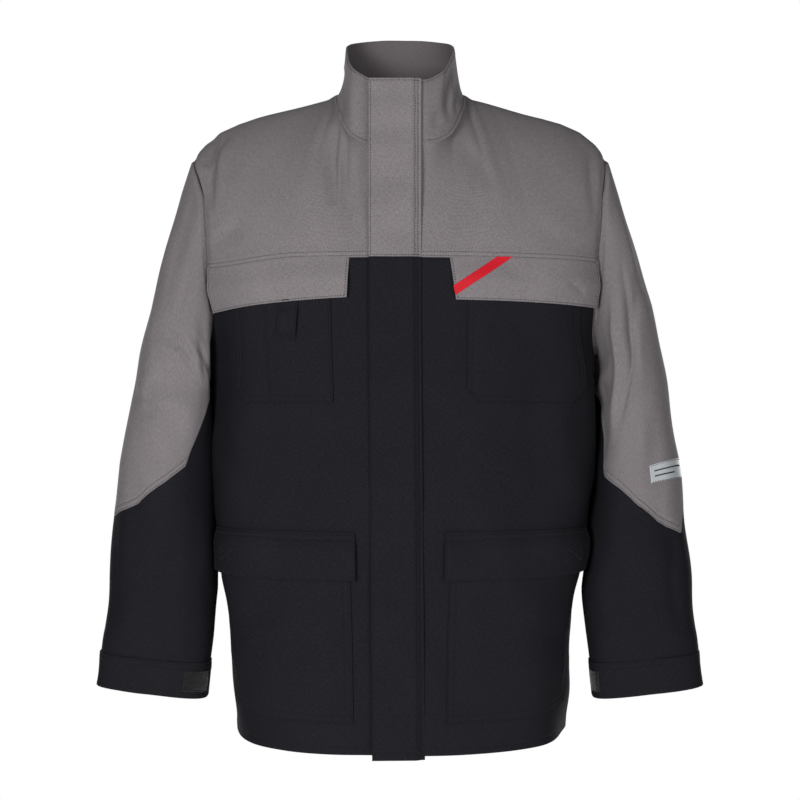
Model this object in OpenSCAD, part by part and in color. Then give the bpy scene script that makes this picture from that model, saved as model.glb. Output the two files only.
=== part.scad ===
// Hip-length welding and work jacket: a woven, two-colour shell with a stand collar, a zip under a
// storm flap, two chest pockets and two hip pockets with flaps, and long sleeves with tabbed cuffs.
// X runs to the wearer's left, Y to the back, Z up. The origin is in the hanger loop, inside the back
// of the neck. Left and right are the wearer's.

/* [Body] */
// Centre of the back to the top of the armhole
shoulder_half = 240; // [234:1:246]
// Top of the armhole below the hanger loop
shoulder_drop = 73; // [70:1:76]
// Bottom of the armhole below the hanger loop
underarm_drop = 303; // [300:1:306]
// Front yoke seam below the hanger loop
yoke_drop = 198; // [194:1:202]
// Back yoke seam below the hanger loop
back_yoke_drop = 184; // [180:1:188]
// Hem at the centre front, below the hanger loop
hem_drop = 746; // [735:1:760]
// How much higher the hem is at the side seams
hem_rise = 12; // [6:1:16]
// Middle of the body to its front
front_depth = 120; // [118:1:124]
// Thickness of the shell, with its turnings
cloth = 2; // [1.6:0.1:2.2]

/* [Collar] */
// Half width of the neck seam
neck_half = 75; // [73:1:78]
// Half width of the collar's top edge
collar_top_half = 62; // [59:1:66]

/* [Storm flap] */
// Sewn edge of the storm flap, to the wearer's left
flap_sewn_x = 27.5; // [26:0.5:29]
// Free edge of the storm flap, to the wearer's right
flap_free_x = -30.5; // [-32:0.5:-29]
// Lower end of the storm flap below the hanger loop
flap_end_drop = 750; // [740:1:760]
// Length of the zip's chain
zip_length = 712; // [700:1:716]

/* [Pockets] */
// Lower edge of the chest pockets below the hanger loop
chest_pocket_drop = 358; // [350:1:366]
// Lower edge of the hip pockets below the hanger loop
hip_pocket_drop = 711; // [700:1:718]
// Top edge of the hip flaps below the hanger loop
hip_flap_drop = 500; // [494:1:506]

/* [Sleeves] */
// Depth of the cuffs along the sleeve
cuff_depth = 43; // [38:1:46]
// How far the wearer's left sleeve hangs turned about its own length

/* [Hidden] */

grey_cloth = [0.50, 0.48, 0.485];
black_cloth = [0.125, 0.13, 0.15];
black_trim = [0.08, 0.08, 0.09];
ribbon_red = [0.84, 0.14, 0.2];
label_silver = [0.75, 0.76, 0.77];
metal = [0.6, 0.6, 0.62];

mid_y = -30; // the plane of the side seams and of the arms
front_y = mid_y - front_depth; // the centre front hangs plumb in this plane
section_power = 2.8; // superellipse power of the body's section
seam_gap = 0.4; // room left between two panels that are sewn together
opening_half = 5; // the fronts stop this far from the centre, and the zip is between them

// ---- numbers and curves ----

function blend(a, b, t) = a + (b - a) * t;
function ease(t) = let (c = min(1, max(0, t))) c * c * (3 - 2 * c);
function unit(v) = v / max(norm(v), 1e-9);
function bezier(a, b, c, d, t) =
    let (s = 1 - t) s * s * s * a + 3 * s * s * t * b + 3 * s * t * t * c + t * t * t * d;
// A power that keeps the sign, for superellipses
function spow(v, p) = sign(v) * pow(abs(v), p);

// ---- a closed sheet of cloth ----

// f(u, v) gives the outer face for u and v from 0 to 1. Its normal is du x dv, or the opposite with
// flip. The inner face is t behind it. With closed, u = 1 joins u = 0.
module sheet(f, nu, nv, t = cloth, flip = false, closed = false) {
    e = 0.004;
    cols = closed ? nu : nu + 1;
    rows = nv + 1;
    turn = flip ? -1 : 1;
    function lo(c) = max(0, c - e);
    function hi(c) = min(1, c + e);
    function ulo(c) = closed ? c - e : lo(c);
    function uhi(c) = closed ? c + e : hi(c);
    at = [for (i = [0:cols - 1], j = [0:nv]) [i / nu, j / nv]];
    outer = [for (g = at) f(g[0], g[1])];
    inner = [for (k = [0:len(at) - 1]) let (
        g = at[k],
        du = f(uhi(g[0]), g[1]) - f(ulo(g[0]), g[1]),
        dv = f(g[0], hi(g[1])) - f(g[0], lo(g[1]))
    ) outer[k] - turn * t * unit(cross(du, dv))];
    count = len(at);
    function id(i, j) = (i % cols) * rows + j;
    spans = [for (i = [0:nu - 1], j = [0:nv - 1]) [id(i, j), id(i + 1, j), id(i + 1, j + 1), id(i, j + 1)]];
    top = [for (q = spans) each [[q[0], q[3], q[2]], [q[0], q[2], q[1]]]];
    under = [for (q = spans) each [
        [q[0] + count, q[2] + count, q[3] + count],
        [q[0] + count, q[1] + count, q[2] + count]
    ]];
    function wall(a, b) = [[a, b, b + count], [a, b + count, a + count]];
    ends = [for (i = [0:nu - 1]) each concat(
        wall(id(i, 0), id(i + 1, 0)),
        wall(id(i + 1, nv), id(i, nv))
    )];
    sides = closed ? [] : [for (j = [0:nv - 1]) each concat(
        wall(id(0, j + 1), id(0, j)),
        wall(id(nu, j), id(nu, j + 1))
    )];
    faces = concat(top, under, ends, sides);
    polyhedron(
        points = concat(outer, inner),
        faces = flip ? [for (q = faces) [q[0], q[2], q[1]]] : faces
    );
}

// The wearer's right side is the mirror image of the left
module on_side(left) {
    if (left) children();
    else mirror([1, 0, 0]) children();
}

// ---- armhole ----

armhole_mid = -(shoulder_drop + underarm_drop) / 2;
armhole_half = (underarm_drop - shoulder_drop) / 2;
armhole_fore = 67; // how far the armhole reaches in front of the side plane
armhole_aft = 72; // and behind it

function armhole_x(z) = lookup(z, [
    [-underarm_drop, shoulder_half - 20],
    [-250, shoulder_half - 18],
    [-yoke_drop, shoulder_half - 14],
    [-120, shoulder_half - 8],
    [-shoulder_drop, shoulder_half]
]);
// Turn 0 is the top of the armhole, 90 its front, 180 its bottom
function armhole(turn) = let (z = armhole_mid + armhole_half * cos(turn)) [
    armhole_x(z),
    mid_y - (sin(turn) > 0 ? armhole_fore : armhole_aft) * sin(turn),
    z
];

// ---- body below the yoke seams ----

function depth(z, fore) = fore ? front_depth : lookup(z, [
    [-hem_drop, 124], [-557, 124], [-430, 112], [-underarm_drop, 124], [-back_yoke_drop, 121]
]);
function side_half(z) = lookup(z, [
    [-hem_drop, 189], [-620, 197], [-557, 204], [-480, 208], [-375, 210], [-330, 214],
    [-underarm_drop, shoulder_half - 20]
]);
// Where the armhole cuts the section at height z, as a share of the section's depth
function armhole_share(z, fore) =
    (fore ? armhole_fore : armhole_aft)
    * sqrt(max(0, 1 - pow((z - armhole_mid) / armhole_half, 2))) / depth(z, fore);
function armhole_width_share(z, fore) =
    pow(1 - pow(armhole_share(z, fore), section_power), 1 / section_power);
function half_width(z, fore) = z <= -underarm_drop
    ? side_half(z)
    : armhole_x(z) / armhole_width_share(z, fore);
// The section's angle at its outer edge: 90 at the side seam, less at the armhole
function edge_angle(z, fore) = z <= -underarm_drop
    ? 90
    : asin(pow(armhole_width_share(z, fore), section_power / 2));
function angle_at(x, z, fore) = asin(pow(min(1, x / half_width(z, fore)), section_power / 2));
// A point of the body: angle 0 is the centre line, 90 the side
function body_point(angle, z, fore) = [
    half_width(z, fore) * pow(sin(angle), 2 / section_power),
    mid_y + (fore ? -1 : 1) * depth(z, fore) * pow(max(0, cos(angle)), 2 / section_power),
    z
];
// The same point moved out of the body by lift
function proud(angle, z, lift, fore) = let (
    a = min(89, max(1, angle)),
    across = body_point(a + 0.5, z, fore) - body_point(a - 0.5, z, fore),
    up = body_point(a, z + 2, fore) - body_point(a, z - 2, fore),
    out = unit(cross(across, up)) * (fore ? 1 : -1)
) body_point(angle, z, fore) + lift * out;

function hem_z(angle) = -hem_drop + hem_rise * ease(angle / 90);
function front_yoke_z(u) = -yoke_drop - 4 * u;

// u runs from the centre to the side, v down
function body_sheet(u, v, top, start_x, fore) = let (
    u_start = angle_at(start_x, top, fore),
    near = blend(u_start, edge_angle(top, fore), u),
    z = blend(top, hem_z(near), v),
    from = angle_at(start_x, z, fore)
) body_point(blend(from, edge_angle(z, fore), u), z, fore);

// ---- collar ----

collar_mid_y = (front_y + 5) / 2;
collar_half_y = (5 - front_y) / 2;
shoulder_seam_turn = 122; // where the shoulder seam meets the neck seam
opening_turn = 2.4; // where the collar stops at the zip

// Turn 0 is the centre front, 180 the centre back; rise 0 is the neck seam, 1 the top edge
function collar(turn, rise) = let (
    y = collar_mid_y - collar_half_y * cos(turn),
    across = pow(max(0, sin(turn)), 0.8),
    low = lookup(y, [[front_y, -70], [-142, -70], [-129, -60], [-106, -34], [-72, -10], [-31, 3], [5, 2]]),
    high = lookup(y, [
        [front_y, -2], [-143, -1], [-125, 12], [-99, 30], [-80, 42], [-60, 52], [-40, 59], [-20, 64.5], [-5, 69], [5, 72]
    ])
) [
    across * blend(neck_half, collar_top_half, pow(rise, 0.7)),
    y,
    blend(low, high, rise)
];
function collar_strip(u, v, inset) = let (
    s = 2 * u - 1,
    turn = blend(180, opening_turn, abs(s)),
    p = collar(turn, blend(0.006, 1, v)),
    centre = [0, collar_mid_y, p[2]],
    in = unit(centre - p)
) [(s < 0 ? -1 : 1) * (p[0] + inset * in[0]), p[1] + inset * in[1], p[2]];

// ---- yokes ----

neck_share = 0.3; // the share of a yoke's top edge that is neck seam
shoulder_line = [
    [75, 0], [82, -4], [165, -25], [188, -32], [210, -42], [227, -56], [shoulder_half, -shoulder_drop]
];
// u from the centre to the armhole, along the neck seam and then the shoulder seam
function yoke_top(u, fore) = u < neck_share
    ? collar(blend(fore ? opening_turn : 180, shoulder_seam_turn, u / neck_share), 0)
    : let (
        s = (u - neck_share) / (1 - neck_share),
        start = collar(shoulder_seam_turn, 0),
        x = blend(start[0], shoulder_half, s)
    ) [x, mid_y, blend(start[2], lookup(x, shoulder_line), ease(s / 0.1))];
function yoke_low(u, fore) = let (
    z = fore ? front_yoke_z(u) : -back_yoke_drop,
    from = fore ? angle_at(opening_half, z, fore) : 0
) body_point(blend(from, edge_angle(z, fore), u), z, fore);
function yoke_plain(u, v, fore) = let (
    a = yoke_top(u, fore),
    d = yoke_low(u, fore),
    s = ease((u - 0.05) / neck_share),
    first = fore ? blend([0, 0, -40], [0, -50, -4], s) : blend([0, 30, -14], [0, 46, -5], s)
) bezier(a, a + first, d + [0, 0, fore ? 60 : 80], d, v);
// The outer edge follows the armhole exactly
function yoke(u, v, fore) = let (
    z = fore ? front_yoke_z(1) : -back_yoke_drop,
    quarter = acos((z - armhole_mid) / armhole_half),
    edge = armhole((fore ? 1 : -1) * quarter * v)
) yoke_plain(u, v, fore) + pow(u, 4) * (edge - yoke_plain(1, v, fore));

// ---- sleeves ----

// Along the sleeve: share, outer x, outer z, inner x, inner z, middle y, half depth, section power
sleeve_rings = [
    [0.00, 240, -73, 220, -303, -29, 70, 2.0],
    [0.10, 258, -123, 221.5, -322, -30, 74, 2.0],
    [0.20, 273, -180, 219, -340, -31, 77, 2.1],
    [0.32, 291, -243, 217, -365, -32, 78, 2.1],
    [0.42, 303, -300, 215.5, -395, -33, 78, 2.2],
    [0.52, 313, -353, 214.5, -430, -34, 76, 2.2],
    [0.62, 325, -426, 213.5, -475, -35, 73, 2.2],
    [0.72, 331.5, -493, 212.5, -525, -36, 68, 2.3],
    [0.82, 338.5, -560, 212, -575, -37, 59, 2.4],
    [0.92, 343.5, -618, 217, -626, -38, 46, 2.6],
    [1.00, 346.5, -645, 221, -657, -38, 40, 3.0],
    [1.20, 350.5, -641 - cuff_depth, 225, -656 - cuff_depth, -38, 38, 3.0]
];
function sleeve_value(s, column) = lookup(s, [for (r = sleeve_rings) [r[0], r[column]]]);
// Turn 0 is the outer edge, 90 the front, 180 next to the body
function sleeve_ring(turn, s, lift) = let (
    out = [sleeve_value(s, 1), 0, sleeve_value(s, 2)],
    in = [sleeve_value(s, 3), 0, sleeve_value(s, 4)],
    reach = (out - in) / 2,
    p = 2 / sleeve_value(s, 7)
) (out + in) / 2 + [0, sleeve_value(s, 5), 0]
    + (reach + lift * unit(reach)) * spow(cos(turn), p)
    + [0, -(sleeve_value(s, 6) + lift), 0] * spow(sin(turn), p);
sleeve_gap = 2.8; // room between the armhole and the sleeve, which turns in it
function sleeve(turn, s, lift = 0) = blend(
    armhole(turn) + [sleeve_gap, 0, 0], sleeve_ring(turn, s, lift), ease(s / 0.14)
);
// The seam between grey and black: a corner at the front, a point near the outer edge
seam_points_left = [
    [-180, 0.235], [-153, 0.14], [-123, 0.25], [-73, 0.47], [-33, 0.60], [10, 0.69], [29, 0.72], [37, 0.74],
    [60, 0.72], [72, 0.705], [85, 0.677], [101, 0.64], [117, 0.607], [143, 0.562], [158, 0.478], [180, 0.235]
];
seam_points_right = [
    [-180, 0.14], [-150, 0.25], [-100, 0.47], [-60, 0.60], [-4, 0.72], [20, 0.715], [50, 0.692], [66, 0.675],
    [85, 0.635], [99, 0.60], [116, 0.56], [136, 0.428], [160, 0.2], [180, 0.14]
];
function wrap(turn) = turn - 360 * floor((turn + 180) / 360);
function sleeve_seam(turn, left) = lookup(wrap(turn), left ? seam_points_left : seam_points_right);

// ---- pockets ----

pocket_cloth = 1.5;
pocket_foot = pocket_cloth + 0.4; // outer face of a pocket at its sewn edges
// How far a patch pocket's outer face stands off the body: sewn at its sides and foot, open on top
function pocket_lift(u, v, mouth, belly) =
    pocket_foot + (blend(mouth, belly, ease(v / 0.55)) - pocket_foot)
    * ease(u / 0.11) * ease((1 - u) / 0.11) * ease((1 - v) / 0.2);
function pocket_point(u, v, a_in, a_out, top, foot, mouth, belly) = let (
    z = blend(top, foot, v)
) proud(blend(a_in, a_out, u), z, pocket_lift(u, v, mouth, belly), true);

chest_mouth = -215;
chest_in = 75; // inner edge of a chest pocket
chest_out = 192; // outer edge
chest_flap_in = 55;
hip_mouth = -515;
hip_in = 53;
hip_out_angle = 73;
function corner_cut(u, v) = 16 * ease((v - 0.8) / 0.2) * ease((u - 0.8) / 0.2);

module chest_pocket(left) {
    a_in = angle_at(chest_in, -280, true);
    a_out = angle_at(chest_out, -280, true);
    color(black_cloth) on_side(left)
        sheet(function(u, v) pocket_point(u, v, a_in, a_out, chest_mouth,
            -chest_pocket_drop + corner_cut(u, v), 7.6, 9), 14, 10, pocket_cloth, true);
}

module hip_pocket(left) {
    a_in = angle_at(hip_in, -600, true);
    color(black_cloth) on_side(left)
        sheet(function(u, v) pocket_point(u, v, a_in, hip_out_angle, hip_mouth,
            -hip_pocket_drop + 14 * u * u, 8.4, 11.5), 14, 12, pocket_cloth, true);
}

// ---- flaps over the pockets ----

flap_cloth = 2;
flap_root = 3.2; // outer face of a flap at its sewn edge
chest_flap_lift = 12; // outer face of a chest flap lower down, over its pocket
hip_flap_lift = 12.4;
function flap_lift(v, full) = blend(flap_root, full, ease(v / 0.26));
chest_flap_top = -yoke_drop - 3;

module chest_flap(left) {
    a_in = angle_at(chest_flap_in, -220, true);
    a_out = edge_angle(-yoke_drop, true) - 4;
    color(grey_cloth) on_side(left)
        sheet(function(u, v) let (
            z = blend(chest_flap_top - 4 * u, -243 - 10 * u, v),
            lean = (left ? 3 : 1.5) * v * (1 - u)
        ) proud(blend(a_in + lean, a_out, u), z, flap_lift(v, chest_flap_lift), true),
        14, 5, flap_cloth, true);
}

module hip_flap(left) {
    a_in = angle_at(hip_in - 4, -520, true);
    color(black_cloth) on_side(left)
        sheet(function(u, v) proud(blend(a_in, hip_out_angle + 2, u),
            blend(-hip_flap_drop + 2 * u, -hip_flap_drop - 54 + 6 * u * u, v), flap_lift(v, hip_flap_lift), true),
        14, 5, flap_cloth, true);
}

// A folded strap over the right chest pocket, with room for a pen behind its lower half
module pen_loop() {
    a_in = angle_at(112, -260, true);
    a_out = angle_at(133, -260, true);
    function strap_lift(v) = blend(9.7, 11.2, ease((v - 0.2) / 0.5))
        + 6 * ease((v - 0.38) / 0.18) * ease((0.95 - v) / 0.2);
    color(black_cloth) on_side(false)
        sheet(function(u, v) proud(blend(a_in, a_out, u), blend(-226, -289, v), strap_lift(v), true),
            3, 16, 1.4, true);
}

// A plain ribbon across the inner corner of the left chest flap
module red_ribbon() {
    width = 8;
    color(ribbon_red)
        sheet(function(u, v) let (
            x = blend(61, 118, u) - 5 * (v - 0.5),
            z = blend(-236, -204, u) - width * 1.1 * (v - 0.5)
        ) proud(angle_at(x, z, true), z,
            flap_lift((chest_flap_top - z) / 44, chest_flap_lift) + 1.0, true), 8, 2, 0.6, true);
}

// ---- storm flap ----

storm_back = -154.6; // the flap's inner face
storm_lining = 1;
storm_shell = 1.4;
storm_front = storm_back - storm_lining - storm_shell;
storm_top = -2;

module flap_plate(x0, x1, z0, z1, y_front, t) {
    translate([x0, y_front, z0]) cube([x1 - x0, t, z1 - z0]);
}

module storm_flap_upper() {
    color(grey_cloth)
        flap_plate(flap_free_x, flap_sewn_x, -yoke_drop, storm_top, storm_front, storm_shell);
}
module storm_flap_lower() {
    color(black_cloth)
        flap_plate(flap_free_x, flap_sewn_x, -flap_end_drop, -yoke_drop, storm_front, storm_shell);
}
module storm_flap_facing() {
    color(black_cloth)
        flap_plate(flap_free_x + 0.5, flap_sewn_x, -flap_end_drop + 0.5, storm_top - 0.5,
            storm_front + storm_shell, storm_lining);
}

snap_x = -19;
snap_first = -44;
snap_pitch = 134;
snap_count = 6;
module snap_places() {
    for (k = [0:snap_count - 1]) translate([snap_x, 0, snap_first - k * snap_pitch]) rotate([90, 0, 0]) children();
}
// rotate([90, 0, 0]) turns +Z to the front, so a height h here is y = -h
module snap_sockets() {
    color(metal) snap_places() translate([0, 0, 152.4]) difference() {
        cylinder(r = 5.5, h = -storm_back - 152.4, $fn = 48);
        translate([0, 0, -1]) cylinder(r = 3.1, h = 2.5, $fn = 48);
    }
}
module snap_studs() {
    color(metal) snap_places() union() {
        translate([0, 0, 150.4]) cylinder(r = 5.5, h = 1.1, $fn = 48);
        translate([0, 0, 151.4]) cylinder(r = 2.7, h = 1.7, $fn = 48);
    }
}

// ---- zip ----

tooth_pitch = 5;
teeth_y = -149; // the chain's middle plane
teeth_thick = 2.4;
chain_gap = 0.7; // half of the room between the two rows of teeth
zip_top = -16;

module zip_teeth(left) {
    count = floor(zip_length / tooth_pitch);
    comb = concat(
        [[3.4, 0], [chain_gap + 1.2, 0]],
        [for (k = [0:count - 1]) each [
            [chain_gap + 1.2, -k * tooth_pitch - 1],
            [chain_gap, -k * tooth_pitch - 1.4],
            [chain_gap, -k * tooth_pitch - 3.2],
            [chain_gap + 1.2, -k * tooth_pitch - 3.6]
        ]],
        [[chain_gap + 1.2, -zip_length], [3.4, -zip_length]]
    );
    color(metal) on_side(left)
        translate([0, teeth_y + teeth_thick / 2, zip_top]) rotate([90, 0, 0])
            linear_extrude(height = teeth_thick) polygon(comb);
}
module zip_tape(left) {
    // the tape's inner edge runs in the slider, and the rest lies behind the front's cloth
    edge = [[3.5, -147.6], [4.8, -147.6], [6.4, -146], [14, -146]];
    color(black_trim) on_side(left) translate([0, 0, zip_top - zip_length])
        linear_extrude(height = zip_length)
            polygon(concat(edge, [for (k = [3:-1:0]) edge[k] + [0, 0.7]]));
}
module zip_bottom_stop() {
    color(metal) translate([-4.5, -151, zip_top - zip_length - 8]) cube([9, 5, 7.6]);
}
slider_z = zip_top - 1;
module zip_slider() {
    color(metal) union() {
        translate([-4.4, -151.7, slider_z - 13]) cube([8.8, 1.3, 13]);
        translate([-4.4, -146.4, slider_z - 13]) cube([8.8, 1.2, 13]);
        translate([-0.4, -151, slider_z - 4]) cube([0.8, 5, 3]);
        translate([0, -151.6, slider_z - 5]) rotate([90, 0, 0]) cylinder(r = 1.2, h = 1.9, $fn = 32);
    }
}
module zip_pull() {
    color(metal) translate([0, -152.2, slider_z - 5]) rotate([90, 0, 0]) difference() {
        union() {
            cylinder(r = 3, h = 0.9, $fn = 32);
            translate([-2.5, -24, 0]) cube([5, 24, 0.9]);
        }
        translate([0, 0, -1]) cylinder(r = 1.5, h = 3, $fn = 32);
        translate([-1.3, -21, -1]) cube([2.6, 9, 3]);
    }
}

// ---- shell panels ----

module front_panel(left) {
    color(black_cloth) on_side(left) sheet(function(u, v)
        body_sheet(u, v, front_yoke_z(u) - seam_gap, opening_half, true), 14, 18, cloth, true);
}
module front_yoke(left) {
    color(grey_cloth) on_side(left) sheet(function(u, v) yoke(u, blend(0.004, 1, v), true), 16, 9, cloth, true);
}
// u runs right across the back, from the wearer's right to the left
module back_yoke() {
    color(grey_cloth) sheet(function(u, v) let (
        s = 2 * u - 1, p = yoke(abs(s), blend(0.008, 1, v), false)
    ) [(s < 0 ? -1 : 1) * p[0], p[1], p[2]], 30, 9, cloth);
}
module back_panel() {
    color(black_cloth) sheet(function(u, v) let (
        s = 2 * u - 1, p = body_sheet(0.994 * abs(s), v, -back_yoke_drop - seam_gap, 0, false)
    ) [(s < 0 ? -1 : 1) * p[0], p[1], p[2]], 28, 16, cloth);
}
// Inside strip along the zip
module front_facing(left) {
    lift = -cloth - 0.9;
    color(black_cloth) on_side(left) sheet(function(u, v) let (z = blend(-yoke_drop - 2, -hem_drop + 8, v))
        proud(angle_at(blend(19.5, 62, u), z, true), z, lift, true), 3, 12, 1, true);
}
// The turned-up hem inside the back and sides
module hem_facing() {
    lift = -cloth - 0.5;
    color(black_cloth) sheet(function(u, v) let (
        s = 2 * u - 1, a = abs(s) * 84, p = proud(a, hem_z(a) + blend(26, 1, v), lift, false)
    ) [(s < 0 ? -1 : 1) * p[0], p[1], p[2]], 26, 1, 1);
}
module collar_outer() {
    color(grey_cloth) sheet(function(u, v) collar_strip(u, v, 0), 40, 4, 1.2);
}
module collar_lining() {
    color(grey_cloth) sheet(function(u, v) collar_strip(u, blend(0.04, 1, v), 1.6), 40, 4, 1.2);
}

// ---- sleeves and cuffs ----

module sleeve_upper(left) {
    color(grey_cloth) on_side(left) sheet(function(u, v) let (turn = 360 * u)
        sleeve(turn, v * (sleeve_seam(turn, left) - 0.002)), 30, 9, cloth, false, true);
}
module sleeve_lower(left) {
    color(black_cloth) on_side(left) sheet(function(u, v) let (turn = 360 * u)
        sleeve(turn, blend(sleeve_seam(turn, left) + 0.001, 0.998, v)), 30, 9, cloth, false, true);
}
cuff_lift = 1.2;
module cuff(left) {
    color(black_cloth) on_side(left) sheet(function(u, v) sleeve(360 * u, blend(1.0, 1.2, v), cuff_lift),
        30, 3, cloth + 0.6, false, true);
}
// A patch of loop fastener on the cuff, next to the body
module cuff_loop_patch(left) {
    from = left ? 146 : 117;
    to = left ? 178 : 168;
    color(black_trim) on_side(left) sheet(function(u, v)
        sleeve(blend(from, to, u), blend(1.05, 1.16, v), cuff_lift + 1.4), 5, 2, 1);
}
tab_from = -48; // where the tab is sewn to the cuff, behind
tab_to = -128; // its free end
tab_lift = cuff_lift + 3.2;
module cuff_tab(left) {
    color(black_cloth) on_side(left) sheet(function(u, v)
        sleeve(blend(tab_from, tab_to, u), blend(1.04, 1.17, v), tab_lift), 12, 2, 2.2, true);
}

// ---- labels and the hanger loop ----

// A blank silver label on the outside of the left sleeve
module sleeve_label() {
    color(label_silver) sheet(function(u, v)
        sleeve(blend(77, 20, u), blend(0.596, 0.6285, v) + 0.017 * u, 0.9), 10, 2, 0.6, true);
}
module neck_label() {
    color(label_silver) sheet(function(u, v)
        collar_strip(blend(0.457, 0.543, u), blend(0.08, 0.36, v), 3.2), 6, 3, 0.5);
}
// A short tape across the inside of the neck, bowed forward off the collar
module hanger_loop() {
    tape = 1.2;
    color(black_trim) sheet(function(u, v) [
        blend(-32, 32, u), -2.6 - 8.6 * pow(sin(180 * u), 0.7), blend(-5.1, 5.1, v)
    ], 20, 1, tape, false);
}

collar_outer();
collar_lining();
back_yoke();
back_panel();
front_yoke(true);  // front_yoke_left
front_yoke(false);  // front_yoke_right
front_panel(true);  // front_panel_left
front_panel(false);  // front_panel_right
front_facing(true);  // front_facing_left
front_facing(false);  // front_facing_right
hem_facing();
zip_tape(true);  // zip_tape_left
zip_tape(false);  // zip_tape_right
zip_teeth(true);  // zip_teeth_left
zip_teeth(false);  // zip_teeth_right
zip_bottom_stop();
zip_slider();
zip_pull();
storm_flap_upper();
storm_flap_lower();
storm_flap_facing();
snap_sockets();
snap_studs();
chest_pocket(true);  // chest_pocket_left
chest_pocket(false);  // chest_pocket_right
chest_flap(true);  // chest_flap_left
chest_flap(false);  // chest_flap_right
pen_loop();
red_ribbon();
hip_pocket(true);  // hip_pocket_left
hip_pocket(false);  // hip_pocket_right
hip_flap(true);  // hip_flap_left
hip_flap(false);  // hip_flap_right
sleeve_upper(true);  // sleeve_upper_left
sleeve_upper(false);  // sleeve_upper_right
sleeve_lower(true);  // sleeve_lower_left
sleeve_lower(false);  // sleeve_lower_right
cuff(true);  // cuff_left
cuff(false);  // cuff_right
cuff_tab(true);  // cuff_tab_left
cuff_tab(false);  // cuff_tab_right
cuff_loop_patch(true);  // cuff_loop_patch_left
cuff_loop_patch(false);  // cuff_loop_patch_right
sleeve_label();
neck_label();
hanger_loop();
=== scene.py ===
"""A two-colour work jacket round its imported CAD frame: turned and stitched cloth, metal, and a studio.

Shapes are worked out in millimetres, as the CAD has them, and meshes are made in metres.
X runs to the wearer's left, Y to the back, Z up. Left and right are the wearer's.
"""

import math
import zlib

import bpy
import numpy as np
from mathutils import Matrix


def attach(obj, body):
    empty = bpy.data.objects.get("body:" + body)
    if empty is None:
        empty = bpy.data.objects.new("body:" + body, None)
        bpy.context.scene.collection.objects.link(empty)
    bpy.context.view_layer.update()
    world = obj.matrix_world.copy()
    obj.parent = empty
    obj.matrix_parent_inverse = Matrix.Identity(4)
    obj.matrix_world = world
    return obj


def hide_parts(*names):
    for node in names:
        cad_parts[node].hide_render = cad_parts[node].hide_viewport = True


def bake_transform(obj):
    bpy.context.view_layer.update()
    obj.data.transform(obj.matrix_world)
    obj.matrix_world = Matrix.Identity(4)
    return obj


MM = 0.001
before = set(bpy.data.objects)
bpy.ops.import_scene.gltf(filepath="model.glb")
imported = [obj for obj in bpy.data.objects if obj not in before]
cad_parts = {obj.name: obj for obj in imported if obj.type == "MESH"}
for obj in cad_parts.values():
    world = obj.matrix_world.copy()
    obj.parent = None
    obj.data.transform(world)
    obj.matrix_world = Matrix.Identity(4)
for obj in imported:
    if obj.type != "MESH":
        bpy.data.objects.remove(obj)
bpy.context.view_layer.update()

# ---------------------------------------------------------------- numbers and curves


def mix(a, b, t):
    return a + (b - a) * t


def ease(t):
    c = np.clip(t, 0.0, 1.0)
    return c * c * (3 - 2 * c)


def look(x, pairs):
    """Straight lines between the pairs, as OpenSCAD's lookup."""
    xs, ys = zip(*sorted(pairs))
    return np.interp(x, xs, ys)


def signed_power(v, p):
    return np.sign(v) * np.abs(v) ** p


def sin(degrees):
    return np.sin(np.radians(degrees))


def cos(degrees):
    return np.cos(np.radians(degrees))


def point(x, y, z):
    return np.stack(np.broadcast_arrays(x, y, z), -1).astype(float)


def unit(v):
    return v / np.maximum(np.linalg.norm(v, axis=-1, keepdims=True), 1e-9)


def bump(d, width):
    return np.exp(-((d / width) ** 2))


def seed_of(name):
    return zlib.crc32(name.encode())


def ripples(p, seed, wave, along=(1, 1, 1), count=12):
    """A smooth random field of about unit height over points p, with waves about wave long."""
    rng = np.random.default_rng(seed)
    total = np.zeros(p.shape[:-1])
    for _ in range(count):
        direction = rng.normal(size=p.shape[-1]) * np.array(along)[: p.shape[-1]]
        direction /= np.linalg.norm(direction)
        pace = 2 * math.pi / (wave * rng.uniform(0.7, 1.6))
        total += np.sin(p @ direction * pace + rng.uniform(0, 2 * math.pi))
    return total / math.sqrt(count / 2)


def crease(q, line, width, height, soft=None):
    """A ridge, or a furrow where height is below 0, along a line of points, that fades to both ends.
    soft is its width on the right of the line's direction, where that differs."""
    line = np.array(line, float)
    parts = np.linalg.norm(np.diff(line, axis=0), axis=1)
    best = np.full(q.shape[:-1], 1e9)
    share = np.zeros(q.shape[:-1])
    side = np.zeros(q.shape[:-1])
    for k, part in enumerate(parts):
        way = (line[k + 1] - line[k]) / part
        rel = q - line[k]
        t = np.clip(rel @ way, 0, part)
        off = rel - t[..., None] * way
        d = np.linalg.norm(off, axis=-1)
        near = d < best
        best = np.where(near, d, best)
        share = np.where(near, (parts[:k].sum() + t) / parts.sum(), share)
        side = np.where(near, way[1] * off[..., 0] - way[0] * off[..., 1], side)
    wide = width if soft is None else np.where(side > 0, soft, width)
    return height * np.exp(-((best / wide) ** 2)) * np.sin(math.pi * share.clip(0, 1)) ** 0.7


# ---------------------------------------------------------------- sizes, in millimetres

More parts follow.
